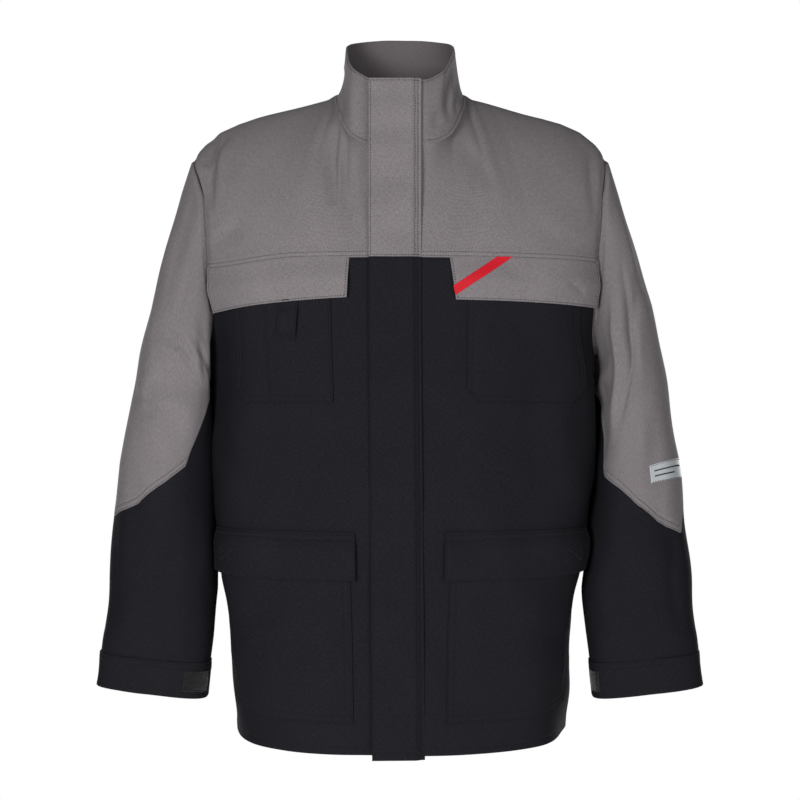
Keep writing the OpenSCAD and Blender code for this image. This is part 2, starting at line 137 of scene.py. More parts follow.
# Drops are measured down from z = 0, the height of the shoulder at the neck
SHOULDER_HALF = 240
SHOULDER_DROP = 73
UNDERARM_DROP = 303
YOKE_DROP = 198
YOKE_FALL = 4  # how much lower the front yoke's edge is at the armhole
BACK_YOKE_DROP = 184
HEM_DROP = 746
HEM_RISE = 12  # how much higher the hem is at the sides
FRONT_DEPTH = 120
CLOTH = 2.0
NECK_HALF = 75
COLLAR_TOP_HALF = 62
NECK_BACK_Y = 5
MID_Y = -30  # the shoulder seams, and the widest part of the body
FRONT_Y = MID_Y - FRONT_DEPTH
SECTION_POWER = 2.8  # of the body's cross section: 2 is an ellipse, more is squarer
OPENING_HALF = 5
FLAP_SEWN_X = 27.5
FLAP_FREE_X = -30.5
FLAP_END = -750
ARMHOLE_MID = -(SHOULDER_DROP + UNDERARM_DROP) / 2
ARMHOLE_HALF = (UNDERARM_DROP - SHOULDER_DROP) / 2
ARMHOLE_FORE = 67
ARMHOLE_AFT = 72
LAP = 3.0  # how far a piece's edge runs on under its neighbour
TUCK_GAP = 0.15  # between the two there

# ---------------------------------------------------------------- the jacket's surfaces


def armhole_x(z):
    return look(z, [(-303, 220), (-250, 222), (-198, 226), (-120, 232), (-73, 240)])


def armhole(turn):
    """The seam where the sleeve is set in, by the sleeve's turn."""
    z = ARMHOLE_MID + ARMHOLE_HALF * cos(turn)
    reach = np.where(sin(turn) > 0, ARMHOLE_FORE, ARMHOLE_AFT)
    return point(armhole_x(z), MID_Y - reach * sin(turn), z)


def depth(z, fore):
    """How far the body reaches from MID_Y to the front or the back."""
    if fore:
        return FRONT_DEPTH + 0 * z
    return look(z, [(-746, 124), (-557, 124), (-430, 112), (-303, 124), (-184, 121)])


def side_half(z):
    return look(
        z,
        [(-746, 189), (-620, 197), (-557, 204), (-480, 208), (-375, 210), (-330, 214), (-303, 220)],
    )


def armhole_width_share(z, fore):
    """What share of the body's half width the armhole's edge leaves at each height."""
    reach = ARMHOLE_FORE if fore else ARMHOLE_AFT
    across = reach * np.sqrt(np.maximum(0, 1 - ((z - ARMHOLE_MID) / ARMHOLE_HALF) ** 2))
    return (1 - (across / depth(z, fore)) ** SECTION_POWER) ** (1 / SECTION_POWER)


def half_width(z, fore):
    return np.where(
        z <= -UNDERARM_DROP, side_half(z), armhole_x(z) / armhole_width_share(z, fore)
    )


def edge_angle(z, fore):
    """The angle at which the body ends: at the armhole, or at the side below it."""
    turned = np.degrees(np.arcsin(armhole_width_share(z, fore) ** (SECTION_POWER / 2)))
    return np.where(z <= -UNDERARM_DROP, 90.0, turned)


def angle_at(x, z, fore):
    share = np.clip(x / half_width(z, fore), 0, 1)
    return np.degrees(np.arcsin(share ** (SECTION_POWER / 2)))


def body_point(angle, z, fore):
    """Angle 0 is the centre line, 90 the side."""
    p = 2 / SECTION_POWER
    back = np.maximum(0, cos(angle)) ** p * depth(z, fore)
    x = half_width(z, fore) * np.maximum(0, sin(angle)) ** p
    return point(x, MID_Y + (-back if fore else back), z)


def proud(angle, z, lift, fore=True):
    """A point of the body moved out of it by lift."""
    a = np.clip(angle, 1, 89)
    across = body_point(a + 0.5, z, fore) - body_point(a - 0.5, z, fore)
    up = body_point(a, z + 2, fore) - body_point(a, z - 2, fore)
    out = unit(np.cross(across, up)) * (1 if fore else -1)
    return body_point(angle, z, fore) + np.asarray(lift)[..., None] * out


def hem_z(angle):
    return -HEM_DROP + HEM_RISE * ease(angle / 90)


def front_yoke_z(u):
    return -YOKE_DROP - YOKE_FALL * u


def body_sheet(u, v, top, start_x, fore):
    """A panel from top down to the hem, and from start_x to the armhole and the side."""
    near = mix(angle_at(start_x, top, fore), edge_angle(top, fore), u)
    z = mix(top, hem_z(near), v)
    return body_point(mix(angle_at(start_x, z, fore), edge_angle(z, fore), u), z, fore)


# The neck seam's and the collar's top edge's height at each y, from the front to the back
NECK_SEAM = [(-150, -70), (-142, -70), (-129, -60), (-106, -34), (-72, -10), (-31, 3), (5, 2)]
COLLAR_EDGE = [
    (-150, -2), (-143, -1), (-125, 12), (-99, 30), (-80, 42), (-60, 52), (-40, 59), (-20, 64.5), (-5, 69),
    (5, 72),
]
COLLAR_START = 2.4  # the turn of the collar's front ends


def collar(turn, rise):
    """Turn 0 is the centre front, 180 the centre back; rise 0 is the neck seam, 1 the top edge."""
    y = (FRONT_Y + NECK_BACK_Y) / 2 - (NECK_BACK_Y - FRONT_Y) / 2 * cos(turn)
    across = np.maximum(0, sin(turn)) ** 0.8
    low, high = look(y, NECK_SEAM), look(y, COLLAR_EDGE)
    half_x = mix(NECK_HALF, COLLAR_TOP_HALF, np.maximum(rise, 0) ** 0.7)
    return point(across * half_x, y, mix(low, high, rise))


def collar_strip(u, v, inset=0.0):
    """u runs from the wearer's right front round the back to the left front, v up."""
    s = 2 * u - 1
    p = collar(mix(180.0, COLLAR_START, np.abs(s)), v)
    inward = unit(point(0, (FRONT_Y + NECK_BACK_Y) / 2, p[..., 2]) - p)
    p = p + inset * inward * np.array([1, 1, 0])
    p[..., 0] *= np.where(s < 0, -1, 1)
    return p


NECK_SHARE = 0.3  # of the yoke's top edge lies at the neck, and the rest at the shoulder
SEAM_TURN = 122  # the turn of the collar where the shoulder seam meets it
# The shoulder seam's height at each x
SHOULDER_LINE = [(75, 0), (82, -4), (165, -25), (188, -32), (210, -42), (227, -56), (240, -73)]


def yoke_top(u, fore):
    neck = collar(mix(COLLAR_START if fore else 180.0, SEAM_TURN, np.minimum(u / NECK_SHARE, 1)), 0 * u)
    s = np.clip((u - NECK_SHARE) / (1 - NECK_SHARE), 0, 1)
    start = collar(np.array(float(SEAM_TURN)), np.array(0.0))
    x = mix(start[0], SHOULDER_HALF, s)
    line = point(x, MID_Y, mix(start[2], look(x, SHOULDER_LINE), ease(s / 0.1)))
    return np.where((u < NECK_SHARE)[..., None], neck, line)


def yoke_low(u, fore):
    z = front_yoke_z(u) if fore else -BACK_YOKE_DROP + 0 * u
    start = angle_at(OPENING_HALF, z, fore) if fore else 0 * z
    return body_point(mix(start, edge_angle(z, fore), u), z, fore)


def yoke_plain(u, v, fore):
    """A cubic curve down from each point of the top edge to the one of the lower edge below it."""
    a, d = yoke_top(u, fore), yoke_low(u, fore)
    s = ease((u - 0.05) / NECK_SHARE)[..., None]
    if fore:
        first = mix(np.array([0, 0, -40.0]), np.array([0, -50.0, -4]), s)
    else:
        first = mix(np.array([0, 30.0, -14]), np.array([0, 46.0, -5]), s)
    around = [yoke_top(np.clip(u + shift, 0, 1), fore) for shift in (-0.16, -0.08, 0, 0.08, 0.16)]
    b, c = sum(around) / len(around) + first, d + np.array([0, 0, 60 if fore else 80])
    t = v[..., None]
    r = 1 - t
    return r**3 * a + 3 * r * r * t * b + 3 * r * t * t * c + t**3 * d


def yoke(u, v, fore):
    """u runs from the centre to the armhole, v from the neck and shoulder seams down."""
    u, v = (x.astype(float) for x in np.broadcast_arrays(u, v))
    z = front_yoke_z(1) if fore else -BACK_YOKE_DROP
    quarter = math.degrees(math.acos((z - ARMHOLE_MID) / ARMHOLE_HALF))
    edge = armhole((1 if fore else -1) * quarter * v)
    return yoke_plain(u, v, fore) + (u**4)[..., None] * (edge - yoke_plain(1 + 0 * u, v, fore))


# Along the sleeve: share, outer x and z, inner x and z, middle y, half depth, section power
SLEEVE_RINGS = np.array(
    [
        [0.00, 240, -73, 220, -303, -29, 70, 2.0],
        [0.10, 258, -123, 221.5, -322, -30, 74, 2.0],
        [0.20, 273, -180, 219, -340, -31, 77, 2.1],
        [0.32, 291, -243, 217, -365, -32, 78, 2.1],
        [0.42, 303, -300, 215.5, -395, -33, 78, 2.2],
        [0.52, 313, -353, 214.5, -430, -34, 76, 2.2],
        [0.62, 325, -426, 213.5, -475, -35, 73, 2.2],
        [0.72, 331.5, -493, 212.5, -525, -36, 68, 2.3],
        [0.82, 338.5, -560, 212, -575, -37, 59, 2.4],
        [0.92, 343.5, -618, 217, -626, -38, 46, 2.6],
        [1.00, 346.5, -645, 221, -657, -38, 40, 3.0],
        [1.20, 350.5, -684, 225, -699, -38, 38, 3.0],
    ]
)


def sleeve_ring(turn, s, lift):
    """The sleeve's cross section at s, moved outwards by lift."""
    outer_x, outer_z, inner_x, inner_z, y, half, power = (
        np.interp(s, SLEEVE_RINGS[:, 0], column) for column in SLEEVE_RINGS[:, 1:].T
    )
    outer, inner = point(outer_x, 0, outer_z), point(inner_x, 0, inner_z)
    reach = (outer - inner) / 2
    reach = reach + np.asarray(lift)[..., None] * unit(reach)
    p = 2 / power
    side = point(0, y - (half + lift) * signed_power(sin(turn), p), 0)
    return (outer + inner) / 2 + reach * signed_power(cos(turn), p)[..., None] + side


def sleeve(turn, s, lift=0.0):
    """Turn 0 is the sleeve's outer edge, 90 its front, 180 next to the body. s is 0 at the armhole, 1 at
    the cuff. The first few millimetres run on under the body's panels."""
    turn, s, lift = (x.astype(float) for x in np.broadcast_arrays(turn, s, lift))
    start = armhole(turn)
    below = ease(np.abs(turn - 360 * np.round(turn / 360)) / 70)
    start[..., 0] += mix(-LAP, 0.3 + 2.5 * below, ease(s / 0.02))
    return mix(start, sleeve_ring(turn, s, lift), ease(s / 0.14)[..., None])


# Where the grey upper sleeve meets the black lower one: turn and share, for the left and the right sleeve
SLEEVE_SEAM = {
    1: [
        (-180, 0.235), (-153, 0.14), (-123, 0.25), (-73, 0.47), (-33, 0.60), (10, 0.69), (29, 0.72),
        (37, 0.74), (60, 0.72), (72, 0.705), (85, 0.677), (101, 0.64), (117, 0.607), (143, 0.562),
        (158, 0.478), (180, 0.235),
    ],
    -1: [
        (-180, 0.14), (-150, 0.25), (-100, 0.47), (-60, 0.60), (-4, 0.72), (20, 0.715), (50, 0.692),
        (66, 0.675), (85, 0.635), (99, 0.60), (116.5, 0.56), (121.5, 0.508), (126, 0.442), (134, 0.362),
        (146.5, 0.304), (160, 0.2), (180, 0.14),
    ],
}


def sleeve_seam(turn, side):
    """The share of the sleeve's length at which its grey cloth ends."""
    return look(turn - 360 * np.floor((turn + 180) / 360), SLEEVE_SEAM[side])


PULL_RIGHT, PULL_LOWER, DIP, STAND_OUT = 8.0, 4.5, -6.5, 8.5
SLEEVE_CLEAR_X = 285  # further out than this, the cloth belongs to the middle of a sleeve and stays


def pulled_in(p):
    """How this jacket hangs unevenly. In front, the wearer's right armhole hangs further in than its
    pattern, most of all below the yoke, and the yoke's lower edge dips towards it. Below the left armhole
    the body stands further out. Each change eases in and out over the ranges of x, y and z given."""
    x, y, z = p[..., 0], p[..., 1], p[..., 2]
    right_front = ease((SLEEVE_CLEAR_X + x) / 50) * ease((-50 - y) / 45)
    further = PULL_RIGHT + PULL_LOWER * ease((-200 - z) / 90)
    shift = further * ease((-x - 150) / 70) * right_front * ease((-60 - z) / 40) * ease((z + 440) / 100)
    dip = DIP * ease((-x - 110) / 100) * right_front * ease((-120 - z) / 60) * ease((z + 255) / 50)
    out = STAND_OUT * ease((x - 150) / 60) * ease((SLEEVE_CLEAR_X - x) / 50) * ease((10 - y) / 50)
    out = out * ease((-268 - z) / 50) * ease((z + 520) / 120)
    return p + np.stack([shift + out, 0 * x, dip], -1)


# ---------------------------------------------------------------- how the cloth strays from its pattern

# A fold is its line of points, its width and height, and its width on the line's right where that differs.
# Folds of the body's front and back lie on x and z.
FRONT_FOLDS = [
    ([(-70, -46), (-73, -84), (-71, -140)], 2.4, -6.0, 12),
    ([(-61, -60), (-61, -90), (-58, -150)], 3.2, -2.8, 6),
    ([(-46, -70), (-48, -110), (-52, -175)], 5, -2.2),
    ([(-212, -46), (-219, -66), (-222, -88)], 4, -6.5, 8),
    ([(-198, -46), (-210, -66), (-216, -96), (-214, -140)], 4.5, -6.0, 9),
    ([(-206, -60), (-204, -90), (-206, -130)], 6, 2.2),
    ([(214, -60), (218, -90), (222, -160)], 7, -2.6),
    ([(66, -62), (88, -88), (104, -120)], 7, -2.4, 16),
    ([(-214, -178), (-198, -171), (-176, -150)], 7, -3.2, 14),
    ([(150, -160), (180, -176), (214, -180)], 9, -1.6, 14),
    ([(112, -205), (138, -218), (168, -220)], 6, -1.5, 12),
    ([(186, -222), (200, -232), (206, -240)], 4, -1.6),
    ([(-150, -205), (-128, -224), (-96, -232)], 8, -1.0, 16),
    ([(208, -330), (196, -380), (190, -440)], 12, -2.2),
    ([(-208, -330), (-198, -390), (-188, -450)], 12, -2.4),
    ([(-198, -640), (-170, -600), (-120, -585)], 14, -1.8),
    ([(196, -650), (166, -612), (120, -600)], 14, -1.8),
    ([(-60, -420), (-64, -520), (-60, -640)], 16, -1.4),
    ([(60, -400), (70, -480), (62, -560)], 18, -1.4),
]
BACK_FOLDS = [
    ([(-20, -215), (-24, -330), (-18, -430)], 16, 2.2),
    ([(70, -300), (84, -420), (80, -560)], 22, 2.6),
    ([(-96, -330), (-104, -450), (-92, -620)], 22, 2.4),
    ([(150, -330), (140, -450), (150, -600)], 18, -2.8),
    ([(-160, -340), (-146, -460), (-156, -640)], 18, -2.6),
    ([(-180, -120), (-120, -170), (-60, -180)], 16, -2.0),
    ([(180, -120), (130, -168), (70, -182)], 16, -2.0),
    ([(20, -480), (60, -600), (50, -720)], 20, 2.4),
]


def folds(q, table):
    return sum(crease(q, *fold) for fold in table)


def torso_drape(p):
    """Folds and waves of the body, as seen from in front (x, z) and behind, in millimetres outwards."""
    x, y, z = p[..., 0], p[..., 1], p[..., 2]
    q = p[..., [0, 2]]
    fore = ease((MID_Y + 10 - y) / 20)
    back = 1 - fore
    waves = 1.2 * ripples(p, 11, 150, (1, 1, 0.5)) + 0.5 * ripples(p, 12, 60, (1, 1, 0.6))
    low = ease((-YOKE_DROP - z) / 300)
    waves = waves * (0.5 + 0.9 * low)
    waist = ease((-300 - z) / 70) * ease((z + 585) / 60)
    fullness = waist * ease((np.abs(x) - 140) / 60) * np.where(x > 0, 9.5, 6.0)
    rear_fullness = np.where(x > 0, 12.5, 9) * waist * bump(y - 24, 34) * ease((np.abs(x) - 150) / 50)
    front, rear = folds(q, FRONT_FOLDS), folds(q, BACK_FOLDS)
    return waves + fullness + rear_fullness + fore * front + back * rear


SLEEVE_ACROSS = 1.3  # millimetres of cloth to a degree of turn
SLEEVE_ALONG = 560  # and to a unit of s


# Folds of the sleeves lie on turn and s, both in millimetres of cloth. The wearer's right sleeve has the
# elbow's crescent folds, the left one long slanting ones.
RIGHT_SLEEVE_FOLDS = [
    ([(62, 196), (73, 188), (104, 172), (132, 161), (140, 150)], 8, -5.0, 16),
    ([(112, 50), (109, 90), (107, 120), (116, 165)], 8, -3.2, 16),
    ([(152, 172), (144, 182), (115, 223), (87, 250), (80, 292)], 10, -5.0, 16),
    ([(104, 140), (122, 150), (137, 152), (146, 176), (126, 204)], 9, 3.2),
    ([(134, 118), (161, 132), (186, 146)], 11, -2.6, 16),
    ([(176, 30), (192, 60), (214, 120), (200, 200)], 12, -3.0, 18),
    ([(150, 30), (160, 90), (166, 180)], 10, 3.4),
    ([(138, 250), (112, 272), (72, 284), (30, 276)], 9, -6.0, 20),
    ([(60, 30), (66, 90), (80, 150)], 10, -2.6, 18),
    ([(30, 60), (40, 120), (36, 180)], 12, 2.4),
    ([(60, 330), (90, 400), (84, 470)], 14, -3.0, 22),
    ([(140, 400), (120, 460), (130, 530)], 12, -3.0),
    ([(40, 380), (46, 450), (60, 520)], 14, -2.0),
]
LEFT_SLEEVE_FOLDS = [
    ([(91, 70), (93, 130), (104, 190), (108, 230)], 7, -4.4, 16),
    ([(70, 140), (90, 160), (106, 184), (134, 214), (160, 262)], 7, -5.0, 18),
    ([(128, 60), (140, 120), (158, 190), (176, 270)], 9, 4.0),
    ([(204, 100), (202, 200), (198, 300)], 9, -5.5, 18),
    ([(60, 40), (62, 110), (56, 190)], 14, 2.6),
    ([(84, 280), (92, 330), (84, 380)], 14, -3.0, 22),
    ([(150, 250), (128, 290), (120, 330)], 12, -2.6, 22),
    ([(140, 350), (96, 380), (60, 440)], 12, -3.2, 22),
    ([(60, 400), (80, 450), (76, 520)], 12, -2.6),
    ([(150, 420), (150, 480), (140, 540)], 12, -2.4),
]
SLEEVE_BACK_FOLDS = [
    ([(-50, 60), (-84, 140), (-96, 230)], 12, -3.6, 24),
    ([(-140, 190), (-96, 222), (-40, 210)], 10, -5.0, 20),
    ([(-136, 250), (-92, 272), (-44, 268)], 10, -4.6, 18),
    ([(-120, 310), (-84, 330), (-40, 318)], 10, -3.6, 18),
    ([(-70, 360), (-90, 430), (-84, 520)], 14, -3.2),
]


def sleeve_drape(turn, s, side):
    """Folds and waves of a sleeve, in millimetres outwards."""
    turned = turn - 360 * (turn > 180)
    q = np.stack([turned * SLEEVE_ACROSS, s * SLEEVE_ALONG], -1)
    ring = np.stack([60 * cos(turn), 60 * sin(turn), s * SLEEVE_ALONG], -1)
    waves = 1.5 * ripples(ring, 21 + side, 170, (1, 1, 0.6)) + 0.8 * ripples(ring, 24 + side, 70)
    front = folds(q, RIGHT_SLEEVE_FOLDS if side < 0 else LEFT_SLEEVE_FOLDS)
    rear = folds(q, SLEEVE_BACK_FOLDS)
    near_body = 0.5 + 0.5 * ease(np.abs(np.abs(turned) - 180) / 50)
    start = ease(s / 0.13)
    end = 1 - 0.85 * ease((s - 0.86) / 0.14)
    # The left sleeve stands off the fuller left side of the body
    clear = -6.5 * (side > 0) * ease((np.abs(turned) - 110) / 60)
    clear = clear * ease((s - 0.2) / 0.12) * ease((0.85 - s) / 0.2)
    # and by the armhole both sleeves dip to the seam, the left one over a wider strip
    wide = 11.0 if side > 0 else 8.0
    groove = -5.0 * bump(s * SLEEVE_ALONG - 2, wide)
    groove = groove * ease(np.abs(turned) / 40) * ease((180 - np.abs(turned)) / 40)
    return (waves + front + rear) * near_body * start * end + clear + groove


# ---------------------------------------------------------------- materials

WALE = 0.0021  # metres from one slanting line of the twill to the next
TONE_MIDDLE, TONE_HALF = 3.05, 0.9  # the tones between which the twill goes from dark to light


def new_material(name, roughness, sheen=0.0, metallic=0.0, level=0.3):
    """A material, its node tree and its shader. level is how much its bare surface reflects."""
    m = bpy.data.materials.new(name)
    m.use_nodes = True
    shader = m.node_tree.nodes["Principled BSDF"]
    shader.inputs["Roughness"].default_value = roughness
    shader.inputs["Metallic"].default_value = metallic
    shader.inputs["Sheen Weight"].default_value = sheen
    shader.inputs["Sheen Roughness"].default_value = 0.45
    shader.inputs["Specular IOR Level"].default_value = level
    return m, m.node_tree, shader


def node(tree, kind, inputs=(), **settings):
    """A shader node. inputs gives each of its sockets another node's output or a value."""
    n = tree.nodes.new("ShaderNode" + kind)
    for key, value in settings.items():
        setattr(n, key, value)
    for key, value in dict(inputs).items():
        if isinstance(value, bpy.types.NodeSocket):
            tree.links.new(value, n.inputs[key])
        else:
            n.inputs[key].default_value = value
    return n


def maths(tree, operation, a, b=0.0, c=0.0):
    return node(tree, "Math", {0: a, 1: b, 2: c}, operation=operation).outputs[0]


def noise(tree, at, scale, detail, **more):
    return node(tree, "TexNoise", {"Vector": at, "Scale": scale, "Detail": detail, **more}).outputs[0]


def waves_of(tree, at, length):
    return maths(tree, "SINE", maths(tree, "MULTIPLY", at, 2 * math.pi / length))


def shade(colour, times):
    return [c * times for c in colour[:3]] + [1.0]


def mixed(tree, share, a, b, blend="MIX"):
    n = tree.nodes.new("ShaderNodeMix")
    n.data_type = "RGBA"
    n.blend_type = blend
    for socket, value in ((n.inputs[0], share), (n.inputs[6], a), (n.inputs[7], b)):
        if isinstance(value, bpy.types.NodeSocket):
            tree.links.new(value, socket)
        else:
            socket.default_value = value
    return n.outputs[2]


def linear(r, g, b):
    """An sRGB colour, 0 to 255, as the linear one that nodes take."""
    share = [c / 255 for c in (r, g, b)]
    return [c / 12.92 if c <= 0.04045 else ((c + 0.055) / 1.055) ** 2.4 for c in share] + [1.0]


def raise_by(tree, shader, height, strength, distance):
    """Bump on the shader. distance is in metres."""
    bumped = node(tree, "Bump", {"Height": height, "Strength": strength, "Distance": distance})
    tree.links.new(bumped.outputs[0], shader.inputs["Normal"])


def cloth_coordinates(tree):
    """The UV map's vector, and its weft and warp, in metres of cloth."""
    uv = node(tree, "UVMap", uv_map="cloth").outputs[0]
    weft, warp, _ = node(tree, "SeparateXYZ", {0: uv}).outputs
    return uv, weft, warp


def twill(name, light, dark, roughness, sheen, lint=0.0, **more):
    """Woven twill: slanting wales of yarn, slubs along both yarns, and soft clouding of the dye.
    lint is how much of its specks of fluff show."""
    m, tree, shader = new_material(name, roughness, sheen, **more)
    uv, weft, warp = cloth_coordinates(tree)
    wander = noise(tree, uv, 260.0, 2.0)
    slant = maths(tree, "ADD", maths(tree, "MULTIPLY", weft, 0.86), maths(tree, "MULTIPLY", warp, 0.52))
    slant = maths(tree, "ADD", slant, maths(tree, "MULTIPLY", wander, WALE * 1.5))
    wales = waves_of(tree, slant, WALE)
    yarns = waves_of(tree, warp, WALE * 0.55)
    slubs = []
    for scale in ((1400.0, 260.0, 1.0), (240.0, 1300.0, 1.0)):
        stretched = node(tree, "Mapping", {"Vector": uv, "Scale": scale}).outputs[0]
        slubs.append(noise(tree, stretched, 1.0, 3.0))
    clouds = noise(tree, uv, 14.0, 5.0, Roughness=0.6)
    slub = maths(tree, "ADD", *slubs)
    height = maths(tree, "MULTIPLY_ADD", wales, 0.5, maths(tree, "MULTIPLY", yarns, 0.18))
    tone = maths(tree, "MULTIPLY_ADD", slub, 2.6, maths(tree, "MULTIPLY", height, 0.3))
    tone = maths(tree, "MULTIPLY_ADD", clouds, 0.9, tone)
    limits = {"From Min": TONE_MIDDLE - TONE_HALF, "From Max": TONE_MIDDLE + TONE_HALF}
    share = node(tree, "MapRange", {"Value": tone, **limits}).outputs[0]
    colour = mixed(tree, share, dark, light)
    if lint:
        specks = {"Value": noise(tree, uv, 700.0, 1.0), "From Min": 0.74, "From Max": 0.8}
        found = node(tree, "MapRange", specks).outputs[0]
        colour = mixed(tree, maths(tree, "MULTIPLY", found, lint), colour, shade(light, 2.2))
    tree.links.new(colour, shader.inputs["Base Color"])
    rough = maths(tree, "MULTIPLY_ADD", clouds, 0.12, roughness - 0.06)
    tree.links.new(rough, shader.inputs["Roughness"])
    raise_by(tree, shader, maths(tree, "MULTIPLY_ADD", slub, 0.5, height), 0.55, 0.00022)
    return m


def ribbed(name, colour, roughness, rib, slanted=0.0):
    """A narrow woven tape: ribs across its length, rib apart."""
    m, tree, shader = new_material(name, roughness, 0.05)
    uv, weft, warp = cloth_coordinates(tree)
    ribs = waves_of(tree, maths(tree, "MULTIPLY_ADD", weft, slanted, warp), rib)
    share = maths(tree, "MULTIPLY_ADD", ribs, 0.22, noise(tree, uv, 900.0, 2.0))
    tree.links.new(mixed(tree, share, shade(colour, 0.66), colour), shader.inputs["Base Color"])
    raise_by(tree, shader, share, 0.5, 0.0002)
    return m


def twisted(name, colour):
    """Sewing thread, with its twist along the stitch."""
    m, tree, shader = new_material(name, 0.6, 0.1)
    _, weft, warp = cloth_coordinates(tree)
    ply = waves_of(tree, maths(tree, "MULTIPLY_ADD", weft, 1.4, warp), 0.0007)
    share = maths(tree, "MULTIPLY_ADD", ply, 0.5, 0.5)
    tree.links.new(mixed(tree, share, shade(colour, 0.6), colour), shader.inputs["Base Color"])
    return m


def metal(name, colour, roughness):
    """Cast zip metal or pressed steel, dulled by handling."""
    m, tree, shader = new_material(name, roughness, metallic=1.0)
    wear = noise(tree, node(tree, "TexCoord").outputs["Object"], 420.0, 4.0)
    tree.links.new(mixed(tree, wear, shade(colour, 0.55), colour), shader.inputs["Base Color"])
    rough = maths(tree, "MULTIPLY_ADD", wear, 0.3, roughness - 0.15)
    tree.links.new(rough, shader.inputs["Roughness"])
    return m


def pile(name, colour):
    """Loop fastener: a dense mat of small loops."""
    m, tree, shader = new_material(name, 0.95, 0.3)
    uv = cloth_coordinates(tree)[0]
    loops = node(tree, "TexVoronoi", {"Vector": uv, "Scale": 900.0}).outputs[0]
    tree.links.new(mixed(tree, loops, shade(colour, 2.4), colour), shader.inputs["Base Color"])
    raise_by(tree, shader, loops, 1.0, 0.0006)
    return m


def satin(name, colour):
    """The ground of a woven label: fine satin ribs."""
    m, tree, shader = new_material(name, 0.38, 0.1)
    uv, _, warp = cloth_coordinates(tree)
    share = maths(tree, "MULTIPLY_ADD", waves_of(tree, warp, 0.0006), 0.15, noise(tree, uv, 1200.0, 2.0))
    tree.links.new(mixed(tree, share, shade(colour, 0.75), colour), shader.inputs["Base Color"])
    raise_by(tree, shader, share, 0.4, 0.0001)
    return m


GREY = twill("grey twill", linear(144, 138, 140), linear(106, 100, 103), 0.85, 0.06)
BLACK = twill("black twill", linear(33, 33, 39), linear(17, 17, 22), 0.86, 0.0, lint=0.12, level=0.16)
# A darker copy of the grey twill for the collar's inner face: painted shade inside the neck.
SHADED_INSIDE_TWILL = twill("grey twill inside in painted shade", linear(114, 108, 110), linear(99, 93, 95), 0.88, 0.04)
# The grey thread is far darker than the grey cloth: painted shade of the needle holes and the stitched
# furrows.
SHADED_GREY_THREAD = twisted("grey thread in painted shade", linear(44, 40, 42))
# The black thread is darker than the black cloth: painted shade of the needle holes and the stitched furrows.
SHADED_BLACK_THREAD = twisted("black thread in painted shade", linear(7, 7, 9))
RED_THREAD = twisted("red thread", linear(190, 30, 44))
RED = ribbed("red ribbon", linear(226, 18, 40), 0.7, 0.0011)
SILVER = satin("silver label", linear(198, 203, 206))
TAPE = ribbed("black tape", linear(30, 30, 33), 0.75, 0.0016, 0.8)
LOOPS = pile("loop fastener", linear(18, 18, 20))
ZIP_METAL = metal("zip metal", linear(150, 146, 138), 0.42)
SNAP_METAL = metal("snap metal", linear(176, 176, 180), 0.34)

# ---------------------------------------------------------------- sheets of cloth

EDGES = ("u0", "u1", "v0", "v1")
EDGE_LINES = (0, 0.3, 0.7, 1.3, 2.2)  # grid lines in from an edge, for its roll
ROW_LINES = (-1.1, -0.5, 0, 0.5, 1.1)  # and on both sides of a stitched row, for its furrow
LINES_APART = 0.22  # grid lines closer than this become one
ROW_DEPTH, ROW_WIDTH = 0.65, 1.0  # the furrow of a stitched row
ROW_SLACK = 0.3
STITCH_PITCH = 3.1
STITCH = (2.0, 0.52)  # a stitch's length and half its width
BLACK_STITCH = (2.6, 0.62)  # longer and thicker, so that it shows on black
STITCH_SINK = 0.08  # how deep the thread presses into the cloth
STITCH_SIDES = 6
# A stitch's rings: place along it, width and rise, as shares of its length and half width
STITCH_RINGS = [
    (-0.5, 0.25, -0.55), (-0.34, 0.85, -0.1), (0.0, 1.0, 0.12), (0.34, 0.85, -0.1), (0.5, 0.25, -0.55),
]


def line_plan(pitch, near, far, closed=False):
    """Where grid lines go on a run of cloth: close together at its ends and at each stitched row."""

    def cleaned(values):
        kept = []
        for v in sorted(v for v in values if v >= 0):
            if not kept or v - kept[-1] > LINES_APART:
                kept.append(v)
        return np.array(kept)

    head = cleaned([*EDGE_LINES, *(m + d for m in near for d in ROW_LINES)])
    tail = cleaned([*EDGE_LINES, *(m + d for m in far for d in ROW_LINES)])

    def place(totals):
        totals = np.asarray(totals, float)[:, None]
        if closed:
            count = max(12, round(float(totals.mean()) / pitch))
            return totals * np.arange(count)[None] / count
        room = totals - head[-1] - tail[-1]
        count = max(2, round(float(room.mean()) / pitch))
        middle = head[-1] + room * (np.arange(1, count) / count)[None]
        starts = np.repeat(head[None], len(totals), 0)
        return np.concatenate([starts, middle, totals - tail[::-1][None]], 1)

    return place


def tucked(d):
    """1 where a distance from the edge lies under the neighbour, 0 beyond it."""
    return 1 - ease((d - LAP + 0.8) / 1.6)


def lengths_along(points, axis):
    steps = np.linalg.norm(np.diff(points, axis=axis), axis=-1)
    start = np.zeros_like(np.take(steps, [0], axis))
    return np.concatenate([start, np.cumsum(steps, axis)], axis)


